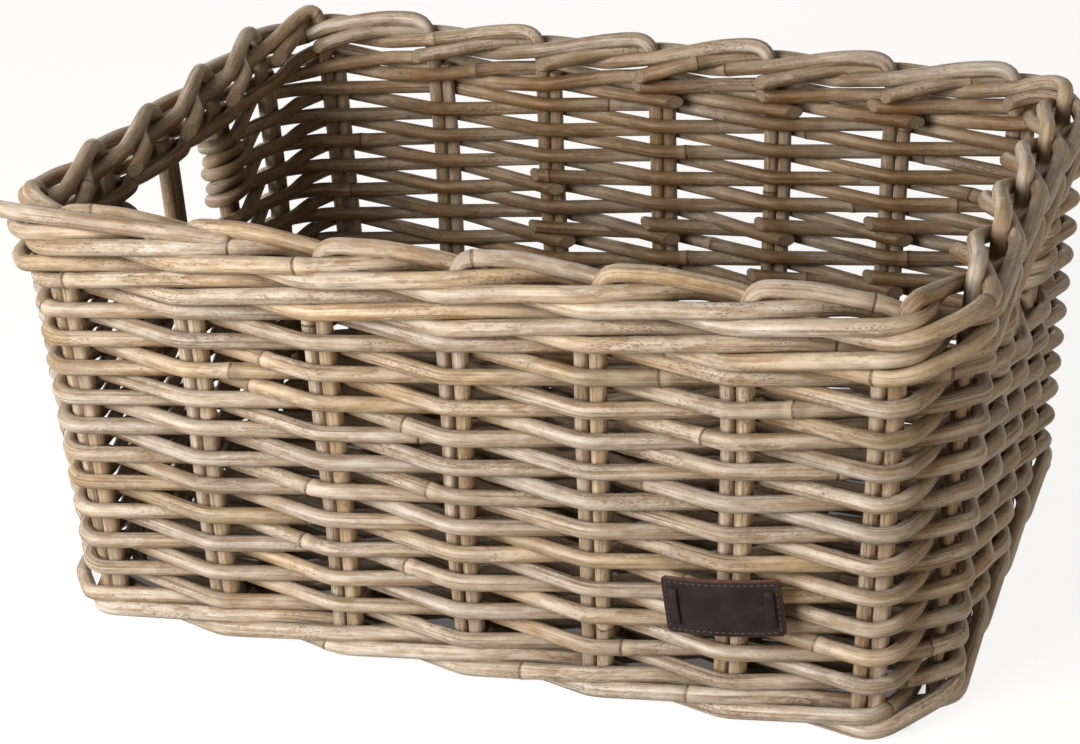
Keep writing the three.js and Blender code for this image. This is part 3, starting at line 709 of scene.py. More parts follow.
def rattan(name, tones, flaked, grime):
    """Streaked tone, then flakes, specks, rings, painted shade with less bleaching, cut ends and dust, with
    roughness and height from the same masks."""
    material = bpy.data.materials.new(name)
    tree = empty_tree(material)
    rod = rod_fields(tree)
    colour, bare = flaked_skin(tree, rod, streaked_tone(tree, rod, tones), flaked)
    colour, speck, crack = specks_and_cracks(tree, rod, colour)
    colour, line = ringed(tree, rod, colour)
    colour = painted_shade_and_wear(tree, rod, colour, grime)
    rough = plus(tree, rise(tree, rod["streaks"], 0.3, 0.7, 0.6, 0.44), times(tree, bare, 0.16))
    height = plus(tree, times(tree, rod["streaks"], 0.55), times(tree, rod["fibres"], 0.3))
    for mask, depth in ((bare, FLAKE_DEPTH), (speck, SPECK_DEPTH), (crack, CRACK_DEPTH), (line, LINE_DEPTH)):
        height = minus(tree, height, times(tree, mask, depth))
    shade_surface(tree, colour, rough, height, RATTAN_BUMP, RATTAN_SPECULAR)
    return material


OLIVE, GREY, BEIGE = (0.31, 0.235, 0.14), (0.42, 0.335, 0.26), (0.48, 0.365, 0.26)
HONEY, TAN, PALE = (0.49, 0.345, 0.21), (0.37, 0.25, 0.15), (0.53, 0.425, 0.33)
weaver_tones = [(0.0, GREY), (0.3, BEIGE), (0.55, GREY), (0.8, HONEY), (1.0, OLIVE)]
stake_tones = [(0.0, TAN), (0.3, PALE), (0.55, BEIGE), (0.75, HONEY), (1.0, PALE)]
wale_tones = [(0.0, PALE), (0.35, BEIGE), (0.6, HONEY), (1.0, PALE)]
base_tones = [(0.0, TAN), (0.4, BEIGE), (0.7, GREY), (1.0, OLIVE)]
weaver_rattan = rattan("weathered_weaver_rattan", weaver_tones, flaked=0.6, grime=0.35)
stake_rattan = rattan("stake_rattan", stake_tones, flaked=0.62, grime=0.4)
wale_rattan = rattan("waling_rattan", wale_tones, flaked=0.6, grime=0.3)
base_rattan = rattan("base_rattan", base_tones, flaked=0.63, grime=0.5)

# %% [markdown]
# No border is level all the way: this one rises to a hump over its back left corner and waves a little all
# round. The waling under it follows. Moving each stop by hand would take long, so one function of the place
# lifts the points of all these rods.

# %% The rim's unevenness
UP = np.array([0.0, 0.0, 1.0])
RIM_HALF_LENGTH, RIM_HALF_DEPTH, RIM_FADE = 228, 160, 6
HUMP, HUMP_X, HUMP_Y, HUMP_REACH = 6.5, -205, 145, 42
RIM_WAVES = ((0.9, 5, 0.6), (0.7, 9, 2.0))


def uneven_rim(points):
    """Two slow waves round the basket, each (height, count, phase), and a bell-shaped hump over the back
    left corner, all fading to nothing below the upper waling."""
    x, y, z = points.T
    around = np.arctan2(y / RIM_HALF_DEPTH, x / RIM_HALF_LENGTH)
    hump = HUMP * np.exp(-((x - HUMP_X) ** 2 + (y - HUMP_Y) ** 2) / (2 * HUMP_REACH ** 2))
    waves = sum(height * np.sin(count * around + phase) for height, count, phase in RIM_WAVES)
    share = np.clip((z - WALE_LEVEL + RIM_FADE) / (RIM_LEVEL - WALE_LEVEL + RIM_FADE), 0, 1)
    return points + ((hump + waves) * share)[:, None] * UP


print("the rim's hump is", HUMP, "mm high")

# %% [markdown]
# Twin stakes stand all round. One rod of each pair ends under the border. The other bends over at the rim,
# passes behind the next pair, comes out low, rises in front of the two pairs after it and goes back in over
# the rod that comes out there. Its end is cut at a slant and stays in sight inside. 24 such rods make the
# rolled border. A twisted ring would be quicker, but no rod would then come out of the wall or end inside.
# One spare rod end sticks out at the front left.

# %% The stakes and the border they make
STAKE_SEED = 100
PAIR_SPREAD, SWAY = 0.65, 0.8
SWAY_LEVELS = (STAKE_LIFT, 70, 140)
CORNER_BOW, PLAIN_BOW, TWIST_SHARE = 3.0, 1.0, 0.62
DIP, ROOM_BEHIND = 1, 0.6
TUCK_RISE, TUCK_SINK, TUCK_DEPTH = 0.5, 1.5, 2
TIP_PLACE, TIP_DROP, TIP_DEPTH = (3.98, 4.2), (5, 9), (7, 9)
BORDER_THICK, SHORT_THICK, SPARE_THICK, BORDER_SOFT = (7.8, 8.5), 7.2, 8.3, 5.0
FACING_COUNT, FACING_LEVEL, TIP_LOOK_UP = 60, 100.0, 0.4
SPARE_STOPS = ((1.4, 5, -1, 0), (1.05, 1.5, 7, 0), (0, 0.8, 8.6, 0), (0, 0.4, 9.5, -26))
SPARE_CUT = (0, -0.5, 0.2)


def border_stops(pair, shift, places, rng):
    """Stops of the border stake: up the wall at the given places along it, over the rim, behind the next
    pair, in front of two pairs and in again."""
    bow = CORNER_BOW if (pair + 2) % PAIRS in CORNER_GAPS else PLAIN_BOW
    behind, low, high, tip = pair + 1, pair + 2, pair + 3, pair + 4
    return [
        *((pair, level, 0, along) for level, along in zip(SWAY_LEVELS, places)),
        (pair, TUCK_LEVEL + corner_radius, 0, shift),
        (pair, RIM_LEVEL - CLEARANCE, 0, shift + corner_radius),
        (pair + 0.25, RIM_LEVEL, -CLEARANCE, 0),
        (pair + 0.5, RIM_LEVEL - DIP, inside(behind) / 2, 0),
        (behind, CROSS_LEVEL + DIP, inside(behind) - ROOM_BEHIND, 0),
        (pair + 1.5, TUCK_LEVEL + DIP, crossing(behind, inside(behind), outside(low)), 0),
        (low, TUCK_LEVEL, outside(low), bend_shift(low, 1)),
        (pair + 2.5, TUCK_LEVEL + TWIST_SHARE * stack, outside(high) + bow, 0),
        (high, CROSS_LEVEL, outside(high), bend_shift(high, 1)),
        (pair + 3.5, CROSS_LEVEL + TUCK_RISE, crossing(high, outside(high), inside(tip)) - TUCK_DEPTH, 0),
        (pair + 3.75, CROSS_LEVEL - TUCK_SINK, inside(tip) - 2 * TUCK_DEPTH, 0),
        (pair + rng.uniform(*TIP_PLACE), CROSS_LEVEL - rng.uniform(*TIP_DROP),
         inside(tip) - rng.uniform(*TIP_DEPTH), 0),
    ]


def stake_rods(pair, rng):
    """The border stake through its stops on the wall, and the short stake straight up beside it. Round rods
    need a little more room than five-sided ones, so each of the two stands a little further out."""
    shift = PAIR_PITCH / 2 + PAIR_SPREAD
    sway = rng.normal(0, SWAY, 3)
    stops = border_stops(pair, shift, shift + sway, rng)
    short = [(pair, level, 0, along) for level, along in zip(SWAY_LEVELS, sway - shift)]
    short.append((pair, WALE_LEVEL + WALE_LIFT, 0, -shift))
    reach = walked(wall_points(stops))
    even = np.linspace(0, reach[-1], FACING_COUNT)
    u, z = read_between(even, reach, np.array(stops)[:, :2]).T
    inward = TIP_LOOK_UP * UP - wall_outward(pair + 4, RIM_LEVEL)
    return [rod_surface(uneven_rim(eased_points(stops)), wall_outward(u, z), rng,
                        thick=rng.uniform(*BORDER_THICK), soft=BORDER_SOFT, cut=(0 * inward, inward)),
            rod_surface(wall_points(short), wall_outward(pair, FACING_LEVEL), rng, thick=SHORT_THICK)]


def spare_end(rng):
    """A rod's end along the front of the rim to the left, straight on past the corner."""
    stops = [(u, RIM_LEVEL - below, out, along) for u, below, out, along in SPARE_STOPS]
    return rod_surface(uneven_rim(wall_points(stops)), UP, rng, thick=SPARE_THICK, soft=BORDER_SOFT,
                       cut=SPARE_CUT)


def pair_name(pair):
    """The side whose first pair is the last one not after this pair, and the count from there."""
    walls = (("front", 0), ("right", RIGHT_START), ("back", BACK_START), ("left", LEFT_START))
    side, start = [wall for wall in walls if wall[1] <= pair][-1]
    return f"stake_{side}_{pair - start + 1}"


for pair in range(PAIRS):
    rng = np.random.default_rng(STAKE_SEED + pair)
    rods = stake_rods(pair, rng) + ([spare_end(rng)] if pair == 0 else [])
    woven_piece("twin_" + pair_name(pair), rods, pair_name(pair), stake_rattan)
print("stakes:", made)

# %% [markdown]
# Plain weave: each row is one long rod, in front of a pair and behind the next, and the row above does the
# opposite. Its two ends meet behind a pair of the back wall, one above the other, and each is cut at a slant
# a little past the pair. A hand-woven row wanders a little up and down. A wander for each row alone would
# make rows cut into each other, so rows that lie on each other share most of it and keep touching.

# %% Where a row goes
WALL_HALF_LENGTH, WALL_HALF_DEPTH, WANDER_RADIUS = 225, 158, 190
ROW_WAVES = ((0.9, 61, 55, 0.0), (0.7, 37, -80, 1.3))
CALM_FADE, CALM_TOP = 25, 8


def row_level(row):
    """Height of a row's middle: the first row's, and one pitch more for each row."""
    return FIRST_ROW + row * ROW_PITCH


def row_out(row, pair):
    """Inside the pair where row and pair add up to an even number, outside where to an odd one."""
    return np.where((np.asarray(row) + pair) % 2 == 0, inside(pair), outside(pair))


def row_stops(row, first, last):
    """One stop at each pair and one more at each corner, in order along the wall."""
    pairs = np.arange(first, last + 1)
    gaps = pairs[np.isin(pairs % PAIRS, CORNER_GAPS)]
    u = np.concatenate([pairs, gaps + 0.5])
    out = np.concatenate([row_out(row, pairs), crossing(gaps, row_out(row, gaps), row_out(row, gaps + 1))])
    along = np.concatenate([bend_shift(pairs, row_out(row, pairs)), 0.0 * gaps])
    order = np.argsort(u)
    return np.stack([u, np.full(len(u), row_level(row)), out, along], axis=1)[order]


def wander_level(points):
    """The wall's shared unevenness: two waves, each (height, length along, length up, phase), which calm
    down towards the waling below and above."""
    x, y, z = points.T
    along = np.arctan2(y / WALL_HALF_DEPTH, x / WALL_HALF_LENGTH) * WANDER_RADIUS
    waves = sum(height * np.sin(along / wide + z / tall + phase) for height, wide, tall, phase in ROW_WAVES)
    calm = np.clip((z - FIRST_ROW) / CALM_FADE, 0, 1)
    calm = calm * np.clip((WALE_LEVEL - CALM_TOP - z) / CALM_FADE, 0, 1)
    return points + (waves * calm)[:, None] * UP


print("rows lie from", round(row_level(0), 1), "to", round(row_level(ROW_COUNT - 1), 1), "mm")

# %% Rows of plain weave
LAP, LAP_PAST, LAP_TURN, LAP_BACK = 0.45 * ROD, (4, 14), 0.6, 0.8
ROW_SWAY, ROW_THICK = 0.45, (7.5, 8.3)
ROW_SEED, JOINT_STEP, JOINT_PLACES = 200, 3, 4


def lapped(start, level, out, rng):
    """Stops of a rod's head and tail behind a pair: the head comes from below, the tail goes on above."""
    past = rng.uniform(*LAP_PAST, 2)
    low, high, end = level - LAP, level + LAP, start + PAIRS
    head = [[start, low - LAP_TURN, out - LAP_BACK, -past[0]], [start, low, out, 0]]
    tail = [[end, high, out, 0], [end, high + LAP_TURN, out - LAP_BACK, past[1]]]
    return head, tail


def full_row(row, rng):
    """A row that starts and ends behind one pair of the back wall, a different one from row to row."""
    start = BACK_START + 1 + (JOINT_STEP * row + 1) % JOINT_PLACES
    head, tail = lapped(start, row_level(row), float(row_out(row, start)), rng)
    stops = np.concatenate([head, row_stops(row, start + 1, start + PAIRS - 1), tail])
    stops[2:-2, 1] += rng.normal(0, ROW_SWAY, len(stops) - 4)
    return rod_surface(wander_level(eased_points(stops)), UP, rng, thick=rng.uniform(*ROW_THICK),
                       cut=-wall_outward(start, row_level(row)))


for row in range(FULL_ROWS):
    node = f"weaver_{row + 1:02d}"
    rod = full_row(row, np.random.default_rng(ROW_SEED + row))
    woven_piece("row_" + node, [rod], node, weaver_rattan)
print("rows:", made)

# %% [markdown]
# At the two hand openings the upper rows can't go on, so each weaver turns back round the outer post.
# Between two turns the post would show bare, and a weaver fills that place with one more wrap. A flat ring
# would cut into the rows, which pass on opposite faces, so the wrap is tilted: high on one face and low on
# the other.

# %% Rows beside the hand openings
TURN_ROUNDNESS = 0.76
WRAP_POINTS, WRAP_START, WRAP_END, WRAP_ROOM = 24, 0.04, 1.96, 0.4
WRAP_THICK, WRAP_SOFT = 7.7, 1.5
HAND_SEED, HAND_THICK, HAND_SOFT = 300, 7.9, 3.0


def turn_round(row, post, side):
    """Three stops on a half circle round a post, from one row up to the next."""
    reach = side * (PAIR_PITCH / 2 + 2 * corner_radius + CLEARANCE)
    start, end = row_out(row, post) * TURN_ROUNDNESS, row_out(row + 1, post) * TURN_ROUNDNESS
    return np.array([[post, row_level(row + 0.25), start, reach * TURN_ROUNDNESS],
                     [post, row_level(row + 0.5), 0, reach],
                     [post, row_level(row + 0.75), end, reach * TURN_ROUNDNESS]])


def post_wrap(row, post, side, rng):
    """A tilted oval round a post: its height follows the sine of the turn, up by half a row on the face
    where the lower row passes and down by half a row on the other."""
    turn = np.linspace(WRAP_START, WRAP_END, WRAP_POINTS) * np.pi
    lower_face = np.sign(row_out(row, post))
    out = np.sin(turn) * (corner_radius + ROD / 2)
    along = -side * np.cos(turn) * (PAIR_PITCH / 2 + ROD + WRAP_ROOM)
    level = row_level(row + 0.5) + lower_face * np.sin(turn) * ROW_PITCH / 2
    stops = np.stack([np.full(WRAP_POINTS, float(post)), level, out, along], axis=1)
    return rod_surface(wander_level(wall_points(stops)), UP, rng, thick=WRAP_THICK, soft=WRAP_SOFT)


def hand_weaver(first, last, rng):
    """Six rows to and fro with a turn at each end, and the wraps between the turns."""
    stops, wraps = [], []
    for row in range(FULL_ROWS, ROW_COUNT):
        rightward = (row - FULL_ROWS) % 2 == 0
        passes = row_stops(row, first, last)
        stops.append(passes if rightward else passes[::-1])
        if row < ROW_COUNT - 1:
            near, far, side = (first, last, 1) if rightward else (last, first, -1)
            stops.append(turn_round(row, far, side))
            wraps.append(post_wrap(row, near, -side, rng))
    points = wander_level(eased_points(np.concatenate(stops)))
    return [rod_surface(points, UP, rng, thick=HAND_THICK, soft=HAND_SOFT)] + wraps


spans = {"front": (LEFT_POST + 1 - PAIRS, RIGHT_POST - 1), "back": (RIGHT_POST + 1, LEFT_POST - 1)}
for name, (first, last) in spans.items():
    rods = hand_weaver(first, last, np.random.default_rng(HAND_SEED + first))
    woven_piece("hand_row_" + name, rods, "handle_weaver_" + name, weaver_rattan)
print("hand rows:", made)

# %% [markdown]
# Waling locks the weave at the foot and under the border. Three rods work together: each passes in front of
# two pairs, rising, then behind one, sinking, and the next rod starts one pair further on. The three
# together look like a rope. One ring with a twist would look much the same from afar, but not inside the
# wall, where each rod shows alone.

# %% Waling at the foot and under the border
WALE_SEED, WALE_RODS, WALE_THICK = 400, 3, (7.7, 8.2)
FLOOR_ROOM, FOOT_EASE = 0.6, 0.6


def waling_points(level, first):
    """Points of one waling rod: inside a pair at its middle level, low over the next, high over the one
    after. A round rod on the floor lies a little higher than a five-sided one."""
    pairs = np.arange(first, first + PAIRS, WALE_RODS)
    high, low = level + WALE_LIFT, max(level - WALE_LIFT, ROD / 2 + FLOOR_ROOM)
    coming = crossing(pairs, inside(pairs), outside(pairs + 1))
    going = crossing(pairs + 2, outside(pairs + 2), inside(pairs + 3))
    bends = pairs[np.isin((pairs + 1) % PAIRS, CORNER_GAPS)]
    parts = [(pairs, level, inside(pairs), 0.0),
             (pairs + 0.5, low, coming, 0.0),
             (pairs + 1, low, outside(pairs + 1), bend_shift(pairs + 1, 1)),
             (bends + 1.5, level, outside(bends + 1) + CORNER_BOW, 0.0),
             (pairs + 2, high, outside(pairs + 2), bend_shift(pairs + 2, 1)),
             (pairs + 2.5, high, going, 0.0)]
    stops = np.concatenate([np.stack(np.broadcast_arrays(*part), axis=1) for part in parts])
    stops = stops[np.argsort(stops[:, 0])]
    if level > FIRST_ROW:
        head, tail = lapped(first, level, stops[0, 2], np.random.default_rng(first))
        return uneven_rim(eased_points(np.concatenate([head, stops[1:], tail])))
    stops[0, 3] = JOINT_GAP / 2
    last = stops[:1] * [1, 1, 1, -1] + [[PAIRS, 0, 0, 0]]
    return eased_points(np.concatenate([stops, last]), FOOT_EASE)


for index in range(WALE_RODS):
    for place, level in (("foot", FOOT_LEVEL), ("rim", WALE_LEVEL)):
        rng = np.random.default_rng(WALE_SEED + 10 * index + (place == "rim"))
        cut = -wall_outward(BACK_START + 1, level) if place == "rim" else (0, 0, 0)
        points = waling_points(level, BACK_START + 1 + index)
        rod = rod_surface(points, UP, rng, thick=rng.uniform(*WALE_THICK), cut=cut)
        node = f"{place}_wale_{index + 1}"
        woven_piece(f"{place}_waling_{index + 1}", [rod], node, wale_rattan)
print("waling:", made)

# %% [markdown]
# The base is out of sight in most views, but it carries the load: five sticks from front to back and rods
# woven across them to and fro, over one stick and under the next. A flat plate would do for most views, but
# the basket is also seen from above and may be seen from below.

# %% The sticks of the base
BASE_ROWS, BASE_RODS, BASE_LIFT, BASE_MARGIN = 30, 3, 1.0, 2.0
STICK_SEED, STICK_THICK = 500, 7.7
STICK_PAIRS = np.arange(1, LONG_PAIRS - 1)
half_length, _ = half_widths(HEIGHT / 2)
long_spacing = (half_length - LONG_INSET) / (LONG_PAIRS // 2)
base_swing = CONTACT / math.cos(math.asin(2 * CONTACT / long_spacing))
BASE_LEVEL = BASE_LIFT + ROD / 2 + base_swing
inner_face = np.abs(INSIDE).max() + ROD / 2
inner_length, inner_depth = np.array(half_widths(BASE_LEVEL)) - inner_face - CLEARANCE
outer_row = inner_depth - BASE_MARGIN - corner_radius
stick_places = wall_points([[pair, BASE_LEVEL, 0, 0] for pair in STICK_PAIRS])[:, 0]
for index, (pair, x) in enumerate(zip(STICK_PAIRS, stick_places)):
    end = wall_points([[pair, FOOT_LEVEL, inside(pair) - ROD / 2 - CLEARANCE, 0]])[0, 1]
    line = [[x, end, BASE_LEVEL], [x, -end, BASE_LEVEL]]
    rod = rod_surface(line, UP, np.random.default_rng(STICK_SEED + index), thick=STICK_THICK)
    woven_piece(f"base_rung_{index + 1}", [rod], f"base_stick_{index + 1}", base_rattan)
print("sticks at", stick_places.round(), "mm, level", round(BASE_LEVEL, 1), "mm")

# %% The rods woven across them
BASE_SEED, BASE_THICK, BASE_SOFT, END_LEAN = 520, 7.6, 2.4, 0.55


def base_row(row):
    """One row across the sticks: its height alternates over and under, and its ends lean to the next row."""
    y = -outer_row + 2 * outer_row * row / (BASE_ROWS - 1)
    reach = inner_length * superellipse((abs(y) + corner_radius) / inner_depth) - corner_radius
    side = np.where((row + np.arange(len(stick_places))) % 2 == 0, 1, -1)
    level = BASE_LEVEL + base_swing * np.concatenate([[END_LEAN * side[0]], side, [END_LEAN * side[0]]])
    x = np.concatenate([[-reach], stick_places, [reach]])
    line = np.stack([x, np.full(len(x), y), level], axis=1)
    return line if row % 2 == 0 else line[::-1]


for index in range(BASE_RODS):
    count = BASE_ROWS // BASE_RODS
    points = np.concatenate([base_row(index * count + row) for row in range(count)])
    rng = np.random.default_rng(BASE_SEED + index)
    rod = rod_surface(points, UP, rng, thick=BASE_THICK, soft=BASE_SOFT)
    woven_piece(f"base_row_{index + 1}", [rod], f"base_weaver_{index + 1}", base_rattan)
print("base:", made)

# %% [markdown]
# The label is a strip of thick dark leather that bends round the weave, sewn along its edge and held by a
# narrow strap at each end. A plate with a bevel would look stiff, so the strip is a grid of rounded
# outlines, from the middle of its face over the edge to the middle of its back, wound on a wide circle.

# %% The label's bent strip
LABEL_WIDTH, LABEL_HEIGHT, LABEL_THICKNESS, LABEL_SAG = 57.0, 29.0, 2.2, 3.0
LABEL_PAIR, LABEL_ROW, LABEL_TILT = 5, 5.5, math.radians(7)
OUTLINE_POINTS = 120
label_radius = (LABEL_WIDTH ** 2 / 4 + LABEL_SAG ** 2) / (2 * LABEL_SAG)
label_out = wall_outward(LABEL_PAIR, row_level(LABEL_ROW))
label_on = np.cross(UP, label_out)
label_back = float(outside(LABEL_PAIR)) + ROD / 2 + CLEARANCE
label_middle = wall_points([[LABEL_PAIR, row_level(LABEL_ROW + 1), label_back, 0]])[0]
label_middle[2] = row_level(LABEL_ROW)


def on_label(across, up, out):
    """A point of the bent strip: its distance across is wound on a circle, so its ends fall back. The strip
    hangs a little askew, its right end up."""
    turn = np.asarray(across, float) / label_radius
    reach = label_radius + np.asarray(out, float)
    along = np.sin(turn) * reach
    depth = np.cos(turn) * reach - label_radius
    level = np.asarray(up, float) * math.cos(LABEL_TILT) + along * math.sin(LABEL_TILT)
    along = along * math.cos(LABEL_TILT) - np.asarray(up, float) * math.sin(LABEL_TILT)
    return label_middle + along[..., None] * label_on + depth[..., None] * label_out + level[..., None] * UP


def rounded_outline(wide, high, radius, count=OUTLINE_POINTS):
    """Points round a rectangle with round corners: those of a sharp one, each brought to the corner's radius
    from the nearest point of a smaller rectangle inside."""
    angle = np.linspace(0, 2 * np.pi, count, endpoint=False) + np.pi / count
    x, y = np.cos(angle), np.sin(angle)
    square = np.maximum(np.abs(x) / wide, np.abs(y) / high) * 2
    edge = np.stack([x / square, y / square])
    limit = np.array([[wide / 2 - radius], [high / 2 - radius]])
    inner = np.clip(edge, -limit, limit)
    away = edge - inner
    return inner + away / np.linalg.norm(away, axis=0) * radius


def ring_faces(rings, count):
    """Four-sided faces between neighbouring rings of points, and a strip of them across each end, from the
    ring's upper half to its lower half."""
    grid, _, sides = ring_grid(rings, count)
    half = np.arange(count // 2 - 1)
    strip = np.stack([half, half + 1, count - 2 - half, count - 1 - half], axis=1)
    return np.concatenate([sides, strip[:, ::-1], strip + grid[-1, 0]])


def sewn_piece(name, points, faces, node, material, edge=None):
    """A smooth closed mesh from points and faces, with a share of raw edge on each point if one is given."""
    mesh = bpy.data.meshes.new(name)
    mesh.from_pydata((points * MM).tolist(), [], faces.tolist())
    mesh.validate()
    mesh.polygons.foreach_set("use_smooth", np.ones(len(mesh.polygons), bool))
    if edge is not None:
        mesh.attributes.new("raw_edge", "FLOAT", "POINT").data.foreach_set("value", edge.astype(np.float32))
    place_piece(name, mesh, node, material)


print("the label bends on a circle of", round(label_radius), "mm")

# %% [markdown]
# Old leather is a brown that is nearly black, with fine grain cells, a soft uneven gloss and wear that
# shows paler. Where it is cut it shows raw reddish fibre. Two finishes could meet along the edge, but one
# finish that reads a share of raw edge from the mesh gives a soft change.

# %% The leather finish
LEATHER_DARK, LEATHER_BROWN, WORN = (0.01, 0.006, 0.005), (0.026, 0.015, 0.0125), (0.06, 0.038, 0.032)
RAW_DARK, RAW_PALE = (0.1, 0.034, 0.024), (0.18, 0.075, 0.052)
LEATHER_BUMP, LEATHER_SPECULAR = (0.35, 0.00015), 0.14


def leather(name):
    """Dark brown in clouds, paler where a fine noise peaks, and raw fibre by the share of edge. The bump adds
    up grain cells and the fine noise."""
    material = bpy.data.materials.new(name)
    tree = empty_tree(material)
    place = put(tree, "TexCoord").outputs["Object"]
    raw = put(tree, "Attribute", attribute_name="raw_edge").outputs["Fac"]
    grain = put(tree, "TexVoronoi", {"Vector": place, "Scale": 1500.0}, feature="DISTANCE_TO_EDGE")
    cloud = put(tree, "TexNoise", {"Vector": place, "Scale": 90.0, "Detail": 4.0}).outputs["Fac"]
    fine = put(tree, "TexNoise", {"Vector": place, "Scale": 700.0, "Detail": 3.0}).outputs["Fac"]
    colour = blend_colour(tree, rise(tree, cloud, 0.3, 0.7), LEATHER_DARK, LEATHER_BROWN)
    colour = blend_colour(tree, rise(tree, fine, 0.62, 0.8, 0.0, 0.35), colour, WORN)
    fibre = blend_colour(tree, rise(tree, fine, 0.3, 0.7), RAW_DARK, RAW_PALE)
    colour = blend_colour(tree, raw, colour, fibre)
    rough = plus(tree, rise(tree, cloud, 0.3, 0.7, 0.46, 0.58), times(tree, raw, 0.35))
    height = plus(tree, rise(tree, grain.outputs["Distance"], 0.0, 0.12), times(tree, fine, 0.6))
    shade_surface(tree, colour, rough, height, LEATHER_BUMP, LEATHER_SPECULAR)
    return material


label_leather = leather("dark_label_leather")

# %% The label itself
LABEL_CORNER, SMALL_CORNER = 2.2, 0.6
face_out = LABEL_THICKNESS * np.array([1.0, 1.0, 1.0, 1.0, 0.96, 0.8, 0.5, 0.2, 0.04, 0.0, 0.0])
inset = np.array([12.0, 8.0, 4.0, 1.6, 0.5, 0.12, 0.0, 0.12, 0.5, 4.0, 12.0])
raw_share = np.array([0, 0, 0, 0, 0.1, 0.9, 1, 1, 1, 0.6, 0.6])
outlines = np.stack([rounded_outline(LABEL_WIDTH - 2 * gap, LABEL_HEIGHT - 2 * gap,
                                     max(LABEL_CORNER - gap / 2, SMALL_CORNER)) for gap in inset])
across, up = outlines[:, 0], outlines[:, 1]
label_points = on_label(across, up, np.broadcast_to(face_out[:, None], up.shape)).reshape(-1, 3)
raw_edge = np.repeat(raw_share, OUTLINE_POINTS)
label_faces = ring_faces(len(inset), OUTLINE_POINTS)
sewn_piece("sewn_label", label_points, label_faces, "leather_label", label_leather, raw_edge)
print("the label has", len(label_points), "points")

# %% [markdown]
# Each strap goes in at one slit and out at the other, so it shows as a short upright bar whose ends dive
# into the leather. A box would end in a hard step, so it is a flat oval carried along a path with two soft
# bends.

# %% The two straps
STRAP_WIDTH, STRAP_THICKNESS, STRAP_INSET, STRAP_SPAN, STRAP_REACH = 4.0, 1.4, 6.0, 18.0, 3.0
STRAP_SIDES, STRAP_FLATNESS, STRAP_ROUNDNESS = 20, 0.4, 0.6
STRAP_EDGE, STRAP_RAW = 0.9, 0.35


def flat_oval(angle):
    """Across and through a strap: a circle's cosine and sine, each to a small power, so that it is nearly a
    rectangle."""
    x, y = np.cos(angle), np.sin(angle)
    return (STRAP_WIDTH / 2 * np.sign(x) * np.abs(x) ** STRAP_FLATNESS,
            STRAP_THICKNESS / 2 * np.sign(y) * np.abs(y) ** STRAP_ROUNDNESS)


def strap_points(side, angle):
    """The oval carried along half a path and the same half mirrored: out of the slit, round, and down the
    face to the middle."""
    crest = LABEL_THICKNESS + CLEARANCE + STRAP_THICKNESS / 2
    corner = STRAP_SPAN / 2
    up = np.array([corner, corner, corner - 0.25, corner - 1.1, corner - 4, 0])
    out = np.array([-STRAP_REACH, 0.6, crest - 0.8, crest - 0.1, crest, crest + 0.25])
    up, out = np.append(up, -up[-2::-1]), np.append(out, out[-2::-1])
    step_out, step_up = unit(np.stack([np.gradient(out), np.gradient(up)], axis=1)).T
    wide, thick = flat_oval(angle)
    across = side * (LABEL_WIDTH / 2 - STRAP_INSET) + np.broadcast_to(wide, (len(up), len(wide)))
    return on_label(across, up[:, None] + thick * step_out[:, None], out[:, None] - thick * step_up[:, None])


angle = np.linspace(0, 2 * np.pi, STRAP_SIDES, endpoint=False)
for name, side in (("left", -1), ("right", 1)):
    points = strap_points(side, angle)
    faces = ring_faces(len(points), STRAP_SIDES)
    edge = np.tile(STRAP_RAW * (np.abs(np.cos(angle)) > STRAP_EDGE), len(points))
    sewn_piece("label_bar_" + name, points.reshape(-1, 3), faces, "label_strap_" + name, label_leather, edge)
print("straps:", made)

# %% [markdown]
# The label's sewing is a row of short stitches just inside its edge. A dashed texture would lie flat, so
# each stitch is a thin tube that rises from the leather and sinks in again. All stitches are worked out in
# one array and make one mesh, because an object for each would be slow.

# %% The thread's finish
THREAD_DARK, THREAD_PALE, THREAD_BUMP = (0.03, 0.018, 0.02), (0.075, 0.05, 0.05), (0.5, 0.0001)


def thread_finish(name):
    """Dull plum-brown thread: a slanting wave gives its colour, roughness and fine twist."""
    material = bpy.data.materials.new(name)
    tree = empty_tree(material)
    place = put(tree, "TexCoord").outputs["Object"]
    wave = {"Vector": place, "Scale": 700.0, "Distortion": 2.0}
    twist = put(tree, "TexWave", wave, bands_direction="DIAGONAL").outputs["Fac"]
    colour = blend_colour(tree, twist, THREAD_DARK, THREAD_PALE)
    shade_surface(tree, colour, rise(tree, twist, 0.0, 1.0, 0.6, 0.8), twist, THREAD_BUMP)
    return material


label_thread = thread_finish("label_thread")

# %% The stitches
STITCH_INSET, STITCH_CORNER, STITCH_PITCH, STITCH_LENGTH = 2.3, 1.2, 3.0, 2.0
STITCH_RISE, STITCH_SINK, THREAD_RADIUS, THREAD_SIDES = 0.22, 0.12, 0.32, 6
SEAM_POINTS = 720
taper = np.array([0.5, 1, 1, 1, 1, 0.5])
seam_width, seam_height = LABEL_WIDTH - 2 * STITCH_INSET, LABEL_HEIGHT - 2 * STITCH_INSET
seam = rounded_outline(seam_width, seam_height, STITCH_CORNER, SEAM_POINTS)
seam = np.append(seam, seam[:, :1], axis=1).T
walk = walked(seam)
stitch_count = int(walk[-1] / STITCH_PITCH)
starts = np.arange(stitch_count)[:, None] * walk[-1] / stitch_count
places = (starts + np.linspace(0, STITCH_LENGTH, len(taper))) % walk[-1]
across, up = (np.interp(places, walk, column) for column in seam.T)
arch = LABEL_THICKNESS + STITCH_RISE * np.sin(np.linspace(0, np.pi, len(taper))) - STITCH_SINK
centres = on_label(across, up, np.broadcast_to(arch, up.shape))
ahead = unit(np.gradient(centres, axis=1))
sideways = np.cross(ahead, label_out)
